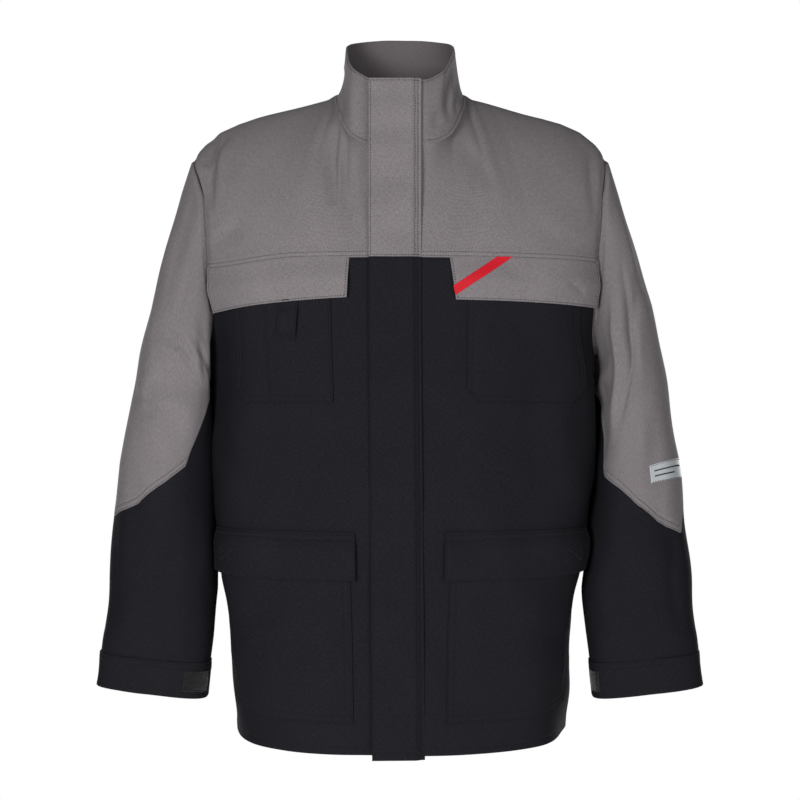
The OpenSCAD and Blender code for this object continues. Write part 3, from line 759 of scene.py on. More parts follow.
class Sheet:
    """A piece of cloth with two faces, rolled edges, turnings, stitched rows and drape.

    f(u, v) gives its outer face in millimetres. rows has, for each edge, how far in its stitched rows run.
    tuck names edges whose first millimetres lie under a neighbour, and turned those with a turning
    inside, which stands bulk proud up to the last row. drape and relief say how far the cloth strays
    outwards: drape moves both faces alike, and relief moves the inner one half as far. closed joins
    u = 1 to u = 0. side is -1 for a mirrored sheet, and lining is the inner face's material, if it has
    one of its own."""

    def __init__(self, name, f, *, rows=None, tuck=(), turned=(), thick=CLOTH, pitch=3.2, flip=False,
                 side=1, closed=False, drape=None, relief=None, pucker=0.2, bulk=0.35, lining=None):
        self.name, self.thick, self.side, self.closed = name, thick, side, closed
        self.rows = {e: tuple((rows or {}).get(e, ())) for e in EDGES}
        self.flip = flip != (side < 0)
        self.lining = lining
        self.parts = []
        self.lay(f, pitch)
        self.shape(tuck, turned, drape, relief, pucker, bulk)

    def lay(self, f, pitch):
        """The grid, with lines along the edges and the rows."""
        across = line_plan(pitch, self.rows["u0"], self.rows["u1"], self.closed)
        down = line_plan(pitch, self.rows["v0"], self.rows["v1"])
        coarse, fine = np.linspace(0, 1, 41), np.linspace(0, 1, 201)
        run = lengths_along(f(coarse[:, None], fine[None]), 1)
        drop = down(run[:, -1])
        v_at = np.stack([np.interp(drop[i], run[i], fine) for i in range(len(coarse))])
        v_fine = np.stack([np.interp(fine, coarse, column) for column in v_at.T], 1)
        run_u = lengths_along(f(fine[:, None] + 0 * v_fine, v_fine), 0)
        reach = across(run_u[-1])
        u = np.stack([np.interp(reach[j], run_u[:, j], fine) for j in range(len(reach))], 1)
        v = np.stack([np.interp(u[:, j], fine, v_fine[:, j]) for j in range(u.shape[1])], 1)
        self.u, self.v = u, v
        self.base = f(u, v)
        self.base[..., 0] *= self.side
        self.base = pulled_in(self.base)
        self.a = reach.T
        self.a_total = np.broadcast_to(run_u[-1][None], u.shape)
        self.b = np.stack([np.interp(u[:, j], coarse, drop[:, j]) for j in range(u.shape[1])], 1)
        self.b_total = np.stack([np.interp(u[:, j], coarse, run[:, -1]) for j in range(u.shape[1])], 1)
        self.flat = (float(run_u[-1].max()), float(run[:, -1].max()))

    def normals(self, p):
        if self.closed:
            du = np.roll(p, -1, 0) - np.roll(p, 1, 0)
        else:
            du = np.gradient(p, axis=0)
        n = unit(np.cross(du, np.gradient(p, axis=1)))
        return -n if self.flip else n

    def to_edge(self, edge):
        return {
            "u0": self.a, "u1": self.a_total - self.a, "v0": self.b, "v1": self.b_total - self.b,
        }[edge]

    def shape(self, tuck, turned, drape, relief, pucker, bulk):
        """Moves the two faces out and in from the pattern's surface."""
        out = self.normals(self.base)
        drift = np.zeros(self.u.shape)
        if drape is not None:
            drift = drift + drape(self)
        fine = np.zeros(self.u.shape)
        if relief is not None:
            fine = fine + relief(self)
        rng = np.random.default_rng(seed_of(self.name))
        for edge in EDGES:
            d = self.to_edge(edge)
            along = self.b if edge[0] == "u" else self.a
            last = max(self.rows[edge], default=5.0)
            if edge in turned:
                fine = fine + bulk * (1 - ease((d - last - 1.5) / 3.0))
            if self.rows[edge]:
                wave = sum(
                    np.sin(along * 2 * math.pi / rng.uniform(6, 19) + rng.uniform(0, 6.28)) for _ in range(6)
                ) / 1.7
                share = 0.55 + 0.45 * np.sin(along / rng.uniform(30, 60) + rng.uniform(0, 6.28))
                fine = fine + pucker * wave * share * bump(d - last - 1.5, 4.5)
            for row in self.rows[edge]:
                fine = fine - ROW_DEPTH * bump(d - row, ROW_WIDTH)
            if edge in tuck:
                drift = drift - (self.thick + TUCK_GAP) * tucked(d)
        half = self.thick / 2
        edge = np.full(self.u.shape, 1e3)
        for name in EDGES[2:] if self.closed else EDGES:
            edge = np.minimum(edge, self.to_edge(name))
        roll = 0.86 * half * (1 - np.sqrt(1 - (1 - np.clip(edge / half, 0, 1)) ** 2))
        self.outer = self.base + out * (drift + fine - roll)[..., None]
        self.inner = self.base + out * (drift + 0.5 * fine - self.thick + roll)[..., None]
        self.normal = self.normals(self.outer)

    # stitching

    def at(self, a, b):
        """The trail of points at distances a from edge u0 and b from edge v0."""
        j = np.interp(b, self.b.mean(0), np.arange(self.b.shape[1]))
        i = np.array([
            np.interp(x, self.a[:, int(round(k))], np.arange(self.a.shape[0])) for x, k in zip(a, j)
        ])
        return self.sample(i, j)

    def sample(self, i, j):
        """A trail: points of the outer face, their normals, and their places i and j on the grid."""
        last_i, last_j = self.outer.shape[0] - 1, self.outer.shape[1] - 1
        i0 = np.clip(np.floor(i).astype(int), 0, last_i - 1)
        j0 = np.clip(np.floor(j).astype(int), 0, last_j - 1)
        x, y = (i - i0)[:, None], (j - j0)[:, None]

        def at(grid):
            near = mix(grid[i0, j0], grid[i0 + 1, j0], x)
            far = mix(grid[i0, j0 + 1], grid[i0 + 1, j0 + 1], x)
            return mix(near, far, y)

        return at(self.outer), unit(at(self.normal)), i, j

    def edge_row(self, edge, distance, start=None, stop=None):
        """The trail that lies a distance in from an edge, cut short by start and stop at its ends."""
        start = distance if start is None else start
        stop = distance if stop is None else stop
        across = edge[0] == "v"
        depth, along, total = self.to_edge(edge), self.a, self.a_total
        if not across:
            depth, along, total = depth.T, self.b.T, self.b_total.T
        order = slice(None, None, 1 if edge[1] == "0" else -1)
        steps = np.arange(depth.shape[1])[order]
        inward = np.array([np.interp(distance, line[order], steps) for line in depth])
        lines = np.arange(len(depth))
        i, j = (lines.astype(float), inward) if across else (inward, lines.astype(float))
        if self.closed and across:
            p, n = self.sample(np.minimum(i, len(lines) - 1.001), j)[:2]
            return np.concatenate([p, p[:1]]), np.concatenate([n, n[:1]]), np.append(i, 0), np.append(j, j[0])
        reach = along[lines, np.round(inward).astype(int)]
        end = total[0, int(round(inward.mean()))] - stop
        keep = (reach >= start - ROW_SLACK) & (reach <= end + ROW_SLACK)
        return self.sample(i[keep], j[keep])

    def stitch(self, trail, thread, pitch=STITCH_PITCH, length=None, size=None):
        """A row of stitches along a trail. size is half a stitch's width."""
        if length is None:
            length, size = BLACK_STITCH if thread is SHADED_BLACK_THREAD else STITCH
        p, n, i, j = trail
        run = np.concatenate([[0], np.cumsum(np.linalg.norm(np.diff(p, axis=0), axis=1))])
        count = int(run[-1] // pitch)
        if count < 1:
            return
        middle = (np.arange(count) + 0.5) * run[-1] / count

        def on(values, s):
            return np.stack([np.interp(s, run, values[:, k]) for k in range(values.shape[1])], 1)

        centre = on(p, middle)
        up = unit(on(n, middle))
        way = on(p, middle + length / 2) - on(p, middle - length / 2)
        way = unit(way - (way * up).sum(1, keepdims=True) * up)
        cross = np.cross(way, up)
        profile = []
        for along, wide, rise in STITCH_RINGS:
            for t in np.arange(STITCH_SIDES) * 2 * math.pi / STITCH_SIDES:
                height = rise + 0.8 * wide * math.sin(t)
                profile.append((along * length, wide * size * math.cos(t), size * height))
        profile = np.array(profile)
        lift = profile[:, 2] - STITCH_SINK
        verts = (
            centre[:, None]
            + profile[None, :, 0, None] * way[:, None]
            + profile[None, :, 1, None] * cross[:, None]
            + lift[None, :, None] * up[:, None]
        )
        quads = []
        for r in range(0, len(profile) - STITCH_SIDES, STITCH_SIDES):
            for k in range(STITCH_SIDES):
                m = (k + 1) % STITCH_SIDES
                quads.append((r + k, r + m, r + STITCH_SIDES + m, r + STITCH_SIDES + k))
        last = len(profile) - STITCH_SIDES
        caps = [(0, 3, 2, 1), (0, 5, 4, 3)]
        caps += [tuple(last + k for k in cap) for cap in ((0, 1, 2, 3), (0, 3, 4, 5))]
        quads = np.array(quads + caps)
        if np.dot(np.cross(way[0], cross[0]), up[0]) > 0:
            quads = quads[:, ::-1]
        faces = (quads[None] + (np.arange(count) * len(profile))[:, None, None]).reshape(-1, 4)
        uv = np.broadcast_to(profile[None, :, :2] * MM, (count, len(profile), 2)).reshape(-1, 2)
        marks = np.stack([np.interp(middle, run, i), np.interp(middle, run, j)], 1)
        marks = np.repeat(marks, len(profile), 0)
        self.parts.append((verts.reshape(-1, 3), faces, uv, thread, marks))

    def stitch_edges(self, thread, skip=(), **cut):
        for edge in EDGES:
            for row in self.rows[edge]:
                if (edge, row) not in skip:
                    self.stitch(self.edge_row(edge, row, **cut), thread)

    def stitch_lines(self, thread, *lines, **how):
        """Rows along straight lines between points (a, b) on the cloth."""
        for line in lines:
            for (a0, b0), (a1, b1) in zip(line, line[1:]):
                t = np.linspace(0, 1, max(2, int(math.dist((a0, b0), (a1, b1)) / 1.5)))
                self.stitch(self.at(mix(a0, a1, t), mix(b0, b1, t)), thread, **how)

    # making

    def cloth_faces(self):
        """Vertices, quads and UVs of the two faces and the rim between them."""
        nu, nv = self.u.shape
        count = nu * nv
        index = np.arange(count).reshape(nu, nv)
        top = np.roll(index, -1, 0) if self.closed else None
        i0 = index if self.closed else index[:-1]
        i1 = top if self.closed else index[1:]
        quads = np.stack([i0[:, :-1], i1[:, :-1], i1[:, 1:], i0[:, 1:]], -1).reshape(-1, 4)
        under = quads[:, ::-1] + count
        rims = []
        for row, turned in ((0, False), (nv - 1, True)):
            a, b = i0[:, row], i1[:, row]
            q = np.stack([b, a, a + count, b + count], -1)
            rims.append(q[:, ::-1] if turned else q)
        if not self.closed:
            for column, turned in ((0, True), (nu - 1, False)):
                a, b = index[column, :-1], index[column, 1:]
                q = np.stack([b, a, a + count, b + count], -1)
                rims.append(q[:, ::-1] if turned else q)
        self.inside = slice(len(quads), 2 * len(quads))
        faces = np.concatenate([quads, under, *rims])
        if self.flip:
            faces = faces[:, ::-1]
        verts = np.concatenate([self.outer.reshape(-1, 3), self.inner.reshape(-1, 3)])
        uv = np.stack([self.a, -self.b], -1).reshape(-1, 2) * MM
        return verts, faces, np.concatenate([uv, uv])

    def make(self, cloth, piece=None):
        """The mesh object. The pattern's flat size and the sheet's area are worked out, and nothing uses
        them.
        """
        verts, faces, uv = self.cloth_faces()
        nu, nv = self.u.shape
        grid = np.stack(np.meshgrid(np.arange(nu), np.arange(nv), indexing="ij"), -1).reshape(-1, 2)
        self.marks = np.concatenate([grid, grid, *(part[4] for part in self.parts)])
        materials, start = [cloth], len(verts)
        all_verts, all_faces, all_uv, slots = [verts], [faces], [uv], [np.zeros(len(faces), int)]
        if self.lining:
            materials.append(self.lining)
            slots[0][self.inside] = 1
        for more, quads, coords, thread, _ in self.parts:
            if thread not in materials:
                materials.append(thread)
            all_verts.append(more)
            all_faces.append(quads + start)
            all_uv.append(coords)
            slots.append(np.full(len(quads), materials.index(thread)))
            start += len(more)
        o = mesh_object(
            piece or self.name, np.concatenate(all_verts), np.concatenate(all_faces),
            np.concatenate(all_uv), materials, np.concatenate(slots),
        )
        width, length = (x * MM for x in self.flat)
        min(self.area() * MM * MM, width * length)
        return o

    def area(self):
        p = self.base
        if self.closed:
            p = np.concatenate([p, p[:1]])
        du, dv = p[1:, :-1] - p[:-1, :-1], p[:-1, 1:] - p[:-1, :-1]
        return float(np.linalg.norm(np.cross(du, dv), axis=-1).sum())


def mesh_object(name, verts, faces, uv, materials, slots):
    me = bpy.data.meshes.new(name)
    me.vertices.add(len(verts))
    me.vertices.foreach_set("co", (verts * MM).astype(np.float32).ravel())
    me.loops.add(faces.size)
    me.loops.foreach_set("vertex_index", faces.astype(np.int32).ravel())
    me.polygons.add(len(faces))
    me.polygons.foreach_set("loop_start", np.arange(0, faces.size, 4, dtype=np.int32))
    me.polygons.foreach_set("material_index", slots.astype(np.int32))
    me.polygons.foreach_set("use_smooth", np.ones(len(faces), bool))
    me.update(calc_edges=True)
    layer = me.uv_layers.new(name="cloth")
    layer.data.foreach_set("uv", uv[faces.ravel()].astype(np.float32).ravel())
    for m in materials:
        me.materials.append(m)
    me.validate()
    o = bpy.data.objects.new(name, me)
    bpy.context.scene.collection.objects.link(o)
    return o


def on_torso(self):
    return torso_drape(self.base)


def at_armhole(distance):
    """The yoke dips to the seam where the sleeve is set in."""
    return -2.6 * bump(distance, 5.5)


def armhole_groove(self):
    return at_armhole(self.to_edge("u1"))


def on_shoulder(u):
    """0 along the neck, 1 along the shoulder seam."""
    return ease((u - NECK_SHARE) / 0.05)


def shoulder_lap(self):
    """At the shoulder seam the back yoke runs on under the front ones, and dips with them at its ends."""
    d = self.to_edge("v0")
    under = (CLOTH + TUCK_GAP) * on_shoulder(np.abs(2 * self.u - 1)) * tucked(d)
    end = np.minimum(self.to_edge("u0"), self.to_edge("u1"))
    return at_armhole(end) * (1 - ease((d - LAP) / 20)) - under


def side_name(side):
    return "left" if side > 0 else "right"


# ---------------------------------------------------------------- collar and yokes

# Where the yokes' cloth starts, as shares of its way down. Below 0 it runs on past the shoulder seam.
FRONT_YOKE_START = 0.004
BACK_YOKE_START, BACK_YOKE_LAP = 0.008, -0.022
COLLAR_THICK = 2.8
# Upright folds at the wearer's right and slanting ones at the left
COLLAR_FOLDS = [
    ([(-64, 26), (-66, -6), (-66, -46)], 3.5, -4.4, 7),
    ([(-53, 22), (-52, -14), (-53, -62)], 6, 3.0),
    ([(-42, 6), (-40, -30), (-41, -80)], 4, -3.4),
    ([(59, 24), (57, -4), (53, -44)], 3.5, -4.2, 6),
    ([(50, 20), (46, -6), (42, -30)], 6, 2.2),
    ([(66, 8), (65, -12), (62, -34)], 3, -2.6),
    ([(45, -34), (41, -44), (37, -54)], 5, -2.0),
]


def collar_folds(self):
    fore = ease((-30 - self.base[..., 1]) / 40)
    return fore * folds(self.base[..., [0, 2]], COLLAR_FOLDS) + 0.7 * ripples(self.base, 31, 60)


# The collar's inner face takes the darker twill, which paints the shade inside the neck.
s = Sheet(
    "collar_cloth", lambda u, v: collar_strip(u, mix(-0.03, 1.0, v)), rows={"v1": (2.4,), "v0": (4.4,)},
    turned=("v1", "v0"), thick=COLLAR_THICK, pitch=2.4, drape=collar_folds, lining=SHADED_INSIDE_TWILL, flip=True,
)
s.stitch_edges(SHADED_GREY_THREAD, start=24, stop=24)
collar_piece = s.make(GREY)
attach(collar_piece, "torso")
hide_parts("collar_outer", "collar_lining")


def front_yoke(u, v):
    return yoke(u, mix(FRONT_YOKE_START * (1 - on_shoulder(u)), 1, v), True)


for side in (1, -1):
    name = side_name(side)
    s = Sheet(
        f"front_yoke_{name}_cloth", front_yoke, rows={"v1": (2.2, 6.6)}, turned=("v1",), flip=True,
        side=side, drape=on_torso, bulk=1.5, relief=armhole_groove,
    )
    s.stitch_edges(SHADED_GREY_THREAD, start=0.5, stop=0.5)
    o = s.make(GREY)
    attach(o, "torso")
    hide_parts(f"front_yoke_{name}")


def whole_back(half):
    """Both halves of the back from one: u runs from the wearer's right to the left."""

    def f(u, v):
        p = half(np.abs(2 * u - 1), v)
        p[..., 0] *= np.where(u < 0.5, -1, 1)
        return p

    return f


def back_yoke(u, v):
    return yoke(u, mix(mix(BACK_YOKE_START, BACK_YOKE_LAP, on_shoulder(u)), 1, v), False)


s = Sheet(
    "back_yoke_cloth", whole_back(back_yoke), rows={"v1": (2.2, 6.6)}, turned=("v1",), drape=on_torso,
    relief=shoulder_lap, pitch=3.6,
)
s.stitch_edges(SHADED_GREY_THREAD, start=0.5, stop=0.5)
o = s.make(GREY)
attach(o, "torso")
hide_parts("back_yoke")

# ---------------------------------------------------------------- fronts and back

FACING_IN, FACING_OUT = 19.5, 62
FACING_GAP = 1.4
HEM_FACING_WIDTH = 25
HEM_FACING_ANGLE = 84
HEM_FACING_GAP = 0.9

for side in (1, -1):
    name = side_name(side)
    s = Sheet(
        f"front_panel_{name}_cloth",
        lambda u, v: body_sheet(u, v, front_yoke_z(u) - 0.4 + LAP, OPENING_HALF, True),
        rows={"v1": (9.0,), "u0": (6.0,)}, tuck=("v0",), turned=("v1", "u0"), flip=True, side=side,
        drape=on_torso,
    )
    s.stitch_edges(SHADED_BLACK_THREAD, start=5, stop=1)
    o = s.make(BLACK)
    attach(o, "torso")
    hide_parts(f"front_panel_{name}")

    def facing(u, v):
        z = mix(-YOKE_DROP - 2.0, -HEM_DROP + 8.0, v)
        return proud(angle_at(mix(FACING_IN, FACING_OUT, u), z, True), z, -CLOTH - FACING_GAP + 0 * u)

    s = Sheet(
        f"front_facing_{name}_cloth", facing, rows={"u1": (2.5,)}, thick=1.0, pitch=6, flip=True, side=side,
        drape=on_torso,
    )
    s.stitch_edges(SHADED_BLACK_THREAD)
    o = s.make(BLACK)
    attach(o, "torso")
    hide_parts(f"front_facing_{name}")

s = Sheet(
    "back_panel_cloth", whole_back(lambda u, v: body_sheet(u, v, -BACK_YOKE_DROP - 0.4 + LAP, 0, False)),
    rows={"v1": (9.0,)}, tuck=("v0",), turned=("v1",), drape=on_torso, pitch=3.6,
)
s.stitch_edges(SHADED_BLACK_THREAD, start=1, stop=1)
o = s.make(BLACK)
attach(o, "torso")
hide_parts("back_panel")


def hem_strip(u, v):
    a = u * HEM_FACING_ANGLE
    return proud(a, hem_z(a) + mix(HEM_FACING_WIDTH + 1, 1.0, v), -CLOTH - HEM_FACING_GAP + 0 * a, False)


s = Sheet("hem_facing_cloth", whole_back(hem_strip), thick=1.0, pitch=6, drape=on_torso)
o = s.make(BLACK)
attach(o, "torso")
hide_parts("hem_facing")

# ---------------------------------------------------------------- storm flap and zip

STORM_FRONT = -157.0
STORM_TOP = -2
STORM_STEP, STORM_STEP_WIDTH = 4.4, 11
STORM_LEAN = 4.0
STORM_BACK = 1.5  # from the flap's front to its facing
SNAPS = [-44 - 134 * k for k in range(6)]
SNAP_X = -19
# The waves that the flap's grey upper part buckles into: each one's middle z and how far it stands out
BUCKLES = [
    (-14, -2.0), (-36, 1.2), (-54, -2.3), (-78, 1.4), (-112, -2.2), (-140, 1.2), (-172, -2.0),
]


def storm_face(u, z, back=0.0):
    """u runs from the sewn edge to the free one. The flap steps up off the left front at its sewn edge,
    and above the waist it lies a few millimetres to the wearer's right."""
    x = mix(FLAP_SEWN_X, FLAP_FREE_X, u)
    step = STORM_STEP * (1 - ease((FLAP_SEWN_X - x) / STORM_STEP_WIDTH))
    lean = STORM_LEAN * (1 - np.clip((-250 - z) / 500, 0, 1))
    return point(x - lean, STORM_FRONT + step + back, z)


def storm_waves(self):
    """The flap's own waves, and a slight dome over each hidden stud."""
    p = self.base
    z = p[..., 2]
    free = ease((FLAP_SEWN_X - p[..., 0]) / 30)
    waves = 0.5 * ripples(p, 41, 90, (0.3, 0, 1)) + 0.3 * ripples(p, 42, 34, (0.5, 0, 1))
    for middle, height in BUCKLES:
        waves = waves + height * bump(z - middle - 0.12 * p[..., 0], 11)
    for snap in SNAPS:
        waves = waves + 0.75 * bump(np.hypot(p[..., 0] - SNAP_X, z - snap), 7.5)
    return waves * free


def storm_piece(piece, top, low, cloth, thread, cad, slot_name, rows, back=0.0, **how):
    s = Sheet(
        piece, lambda u, v: storm_face(u, mix(top, low, v), back), rows=rows, drape=storm_waves,
        pitch=2.8, **how,
    )
    s.stitch_edges(thread, start=1.2, stop=1.2)
    o = s.make(cloth)
    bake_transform(o)
    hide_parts(cad)


STORM_ROWS = {"u0": (3.4, 7.2), "u1": (2.3,)}
storm_piece(
    "storm_flap_upper_cloth", STORM_TOP, -YOKE_DROP + 0.3, GREY, SHADED_GREY_THREAD, "storm_flap_upper",
    "grey_twill", {**STORM_ROWS, "v0": (2.4,), "v1": (2.2,)}, thick=1.4, turned=("v0", "v1", "u1"),
)
storm_piece(
    "storm_flap_lower_cloth", -YOKE_DROP + LAP, FLAP_END, BLACK, SHADED_BLACK_THREAD, "storm_flap_lower",
    "black_twill", {**STORM_ROWS, "v1": (8.0,)}, thick=1.4, turned=("v1", "u1"), tuck=("v0",),
)
storm_piece(
    "storm_flap_facing_cloth", STORM_TOP - 0.5, FLAP_END + 0.5, BLACK, SHADED_BLACK_THREAD, "storm_flap_facing",
    "lining_twill", {"u1": (2.3,)}, back=STORM_BACK, thick=1.0,
)

ZIP_TOP = -16
ZIP_LENGTH = 712
ZIP_Y = -147.6
TAPE_IN, TAPE_OUT = 3.5, 14.0
for side in (1, -1):
    name = side_name(side)

    def tape(u, v):
        x = mix(TAPE_IN, TAPE_OUT, u)
        return point(x, ZIP_Y + 1.6 * ease((x - 4.8) / 1.8), mix(ZIP_TOP, ZIP_TOP - ZIP_LENGTH, v))

    s = Sheet(f"zip_tape_{name}_cloth", tape, thick=0.7, pitch=2.5, flip=True, side=side)
    o = s.make(TAPE)
    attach(o, "torso")
    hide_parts(f"zip_tape_{name}")

ZIP_NODES = ("zip_teeth_left", "zip_teeth_right", "zip_bottom_stop", "zip_slider", "zip_pull")
for m, nodes in ((ZIP_METAL, ZIP_NODES), (SNAP_METAL, ("snap_sockets", "snap_studs"))):
    for cad in nodes:
        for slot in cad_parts[cad].material_slots:
            slot.material = m

# ---------------------------------------------------------------- pockets and flaps

POCKET_FOOT = 1.9
CHEST_MOUTH, CHEST_FOOT = -215, -358
HIP_MOUTH, HIP_FOOT = -515, -711
HIP_IN, HIP_OUT_ANGLE = 53, 73
HIP_FLAP_TOP = -500
FLAP_TOP = -YOKE_DROP + 3  # the chest flaps start a little above the yoke's edge, under it
# For each side: the pocket's inner and outer edge at the mouth, then at the foot
CHEST_POCKET = {1: (74, 201, 73, 198), -1: (77, 191, 73, 187)}
# The flap's inner and outer edge at the root, then at the free edge
CHEST_FLAP = {1: (54.5, 225, 61, 217), -1: (55.5, 225, 58, 216)}
# How far down the free edge lies at the inner corner, and how it falls away from there
CHEST_FLAP_EDGE = {1: (-245, 1.5, 4), -1: (-242.5, 7, 6.5)}
PEN_STRAP = (109.5, 131.5, 114, 134)
PEN_STRAP_TOP, PEN_STRAP_FOOT = -226, -289
PEN_SEAM_X, PEN_SEAM_LEAN = 151.5, 0.045
PEN_SEAM_STEP, PEN_SEAM_GROOVE = 1.5, 1.0
# How far a pocket stands out at its mouth and its belly
CHEST_FULL, HIP_FULL = (3.2, 3.9), (3.6, 5.2)
# How far a flap stands out at its root and its free edge, and the share of its drop that this takes
CHEST_FLAP_LIFT, HIP_FLAP_LIFT = (0.5, 8.2, 0.6), (2.2, 7.8, 0.4)
HIP_FLAP_DROP = 54
# The ribbon's lower edge, then its upper one, each from the flap's inner edge to its root: x and z
RIBBON = [(58.0, -229.6), (106.7, -197.0)], [(60.5, -240.0), (124.3, -197.0)]


def laid(u, v, corners, z, lift):
    """A patch on the front. corners give its inner and outer edge's x at its top, then at its foot."""
    top_in, top_out, low_in, low_out = corners
    return proud(angle_at(mix(mix(top_in, low_in, v), mix(top_out, low_out, v), u), z, True), z, lift)


def pocket_lift(u, v, mouth, belly):
    """A pocket is sewn flat at its sides and foot, and full between them."""
    full = mix(mouth, belly, ease(v / 0.55)) - POCKET_FOOT
    return POCKET_FOOT + full * ease(u / 0.13) * ease((1 - u) / 0.13) * ease((1 - v) / 0.25)


def corner_cut(u, v):
    """A pocket's lower corner is cut off, so its foot rises there."""
    return 14 * ease((v - 0.8) / 0.2) * ease((u - 0.87) / 0.13)


def pleat(self):
    """The pen pocket's seam, which divides the wearer's right chest pocket: a step with a groove."""
    if self.side > 0:
        return 0 * self.u
    seam = PEN_SEAM_X - PEN_SEAM_LEAN * (CHEST_MOUTH - self.base[..., 2])
    inside = seam - np.abs(self.base[..., 0])
    step = PEN_SEAM_STEP * ease((inside + 0.6) / 1.2) * (1 - ease((inside - 12) / 30))
    return step - PEN_SEAM_GROOVE * bump(inside, 1.0)


def chest_pocket(side):
    def f(u, v):
        cut = corner_cut(u, v) + (corner_cut(1 - u, v) if side > 0 else 0)
        z = mix(CHEST_MOUTH, CHEST_FOOT + cut, v)
        return laid(u, v, CHEST_POCKET[side], z, pocket_lift(u, v, *CHEST_FULL))

    return f


def hip_pocket(u, v):
    z = mix(HIP_MOUTH, HIP_FOOT + 14 * u * u, v)
    angle = mix(angle_at(HIP_IN, -600.0, True), HIP_OUT_ANGLE, u)
    return proud(angle, z, pocket_lift(u, v, *HIP_FULL))


for side in (1, -1):
    name = side_name(side)
    s = Sheet(
        f"chest_pocket_{name}_cloth", chest_pocket(side),
        rows={"u0": (2.2, 7.6) if side > 0 else (2.2,), "u1": (2.2, 7.6), "v1": (2.2, 7.8)},
        turned=("u0", "u1", "v1"), thick=1.5, pitch=2.6, flip=True, side=side, drape=on_torso, relief=pleat,
        bulk=0.45,
    )
    s.stitch_edges(SHADED_BLACK_THREAD)
    if side < 0:
        # A bartack at the pocket's foot
        x, y = 17.5, s.flat[1]
        s.stitch_lines(SHADED_BLACK_THREAD, [(x, y - 9), (x, y - 1)], pitch=1.0, length=1.2, size=0.5)
    o = s.make(BLACK)
    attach(o, "torso")
    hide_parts(f"chest_pocket_{name}")
    s = Sheet(
        f"hip_pocket_{name}_cloth", hip_pocket, rows={"u0": (2.2, 8.2), "u1": (2.2, 8.2), "v1": (2.2, 9.4)},
        turned=("u0", "u1", "v1"), thick=1.5, pitch=2.8, flip=True, side=side, drape=on_torso, bulk=0.45,
    )
    s.stitch_edges(SHADED_BLACK_THREAD)
    o = s.make(BLACK)
    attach(o, "torso")
    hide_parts(f"hip_pocket_{name}")


def flap_lift(v, root, full, run):
    return mix(root, full, ease(v / run))


def chest_flap(side):
    low, fall, curl = CHEST_FLAP_EDGE[side]

    def f(u, v):
        top_in, top_out = CHEST_FLAP[side][:2]
        edge = edge_angle(np.array(-198.0), True)
        top = FLAP_TOP - YOKE_FALL * angle_at(mix(top_in, top_out, u), -200.0, True) / edge
        z = mix(top, low - fall * u - curl * u * u, v)
        return laid(u, v, CHEST_FLAP[side], z, flap_lift(v, *CHEST_FLAP_LIFT))

    return f


for side in (1, -1):
    name = side_name(side)
    s = Sheet(
        f"chest_flap_{name}_cloth", chest_flap(side), rows={"u0": (2.4,), "u1": (2.2,), "v1": (2.2,)},
        turned=("u0", "u1", "v1"), pitch=2.4, flip=True, side=side, drape=on_torso, bulk=0.3,
    )
    s.stitch_edges(SHADED_GREY_THREAD)
    if side < 0:
        # A bartack at the flap's free edge
        x, y = 64.0, s.flat[1] - 8
        s.stitch_lines(SHADED_BLACK_THREAD, [(x, y), (x + 9, y)], pitch=0.8, length=1.3, size=0.75)
    o = s.make(GREY)
    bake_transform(o)
    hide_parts(f"chest_flap_{name}")


def hip_flap(u, v):
    z = mix(HIP_FLAP_TOP + 2 * u, HIP_FLAP_TOP - HIP_FLAP_DROP + 6 * u * u, v)
    angle = mix(angle_at(HIP_IN - 4, -520.0, True), HIP_OUT_ANGLE + 2, u)
    return proud(angle, z, flap_lift(v, *HIP_FLAP_LIFT))


for side in (1, -1):
    name = side_name(side)
    s = Sheet(
        f"hip_flap_{name}_cloth", hip_flap, rows={"u0": (2.4,), "u1": (2.4,), "v0": (2.2, 8.8), "v1": (2.4,)},
        turned=("u0", "u1", "v1", "v0"), pitch=2.4, flip=True, side=side, drape=on_torso, bulk=0.4,
    )
    s.stitch_edges(SHADED_BLACK_THREAD)
    # A crossed box of stitches towards the front, and a bow of them towards the side
    x0, x1, y0, y1 = 11.0, 41.0, 22.0, 40.0
    box = [(x0, y0), (x1, y0), (x1, y1), (x0, y1), (x0, y0)]
    s.stitch_lines(SHADED_BLACK_THREAD, box, [(x0, y0), (x1, y1)], [(x0, y1), (x1, y0)])
    x0, x1, x2 = s.flat[0] - 50, s.flat[0] - 37, s.flat[0] - 24
    bow = [(x0, y0), (x1, 30), (x2, y0), (x2, 38), (x1, 30), (x0, 38), (x0, y0)]
    s.stitch_lines(SHADED_BLACK_THREAD, bow)
    o = s.make(BLACK)
    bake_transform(o)
    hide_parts(f"hip_flap_{name}")


def pen_strap(u, v):
    """A strap that stands off the pocket between its sewn ends, for a pen."""
    lift = 5.6 + 4.2 * ease((v - 0.36) / 0.2) * ease((0.97 - v) / 0.14)
    return laid(u, v, PEN_STRAP, mix(PEN_STRAP_TOP, PEN_STRAP_FOOT, v), lift + 0 * u)


s = Sheet(
    "pen_loop_cloth", pen_strap, rows={"u0": (2.2,), "u1": (2.2,), "v1": (2.0,)}, turned=("u0", "u1"),
    thick=1.4, pitch=1.8, flip=True, side=-1, drape=on_torso,
)
s.stitch_edges(SHADED_BLACK_THREAD)
o = s.make(BLACK)
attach(o, "torso")
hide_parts("pen_loop")


def ribbon(u, v):
    """A slanting band from the flap's inner edge to its root."""
    (low_start, low_end), (high_start, high_end) = RIBBON
    x, z = (mix(mix(low_start[k], low_end[k], u), mix(high_start[k], high_end[k], u), v) for k in (0, 1))
    down = (FLAP_TOP - z) / 50
    return proud(angle_at(x, z, True), z, flap_lift(down, *CHEST_FLAP_LIFT) + 0.7)


s = Sheet("red_ribbon_cloth", ribbon, thick=0.5, pitch=1.6, flip=True, drape=on_torso)
s.stitch_lines(RED_THREAD, [(2.0, 1.2), (2.0, 8.0)])
o = s.make(RED)
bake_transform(o)
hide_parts("red_ribbon")

# ---------------------------------------------------------------- sleeves and cuffs

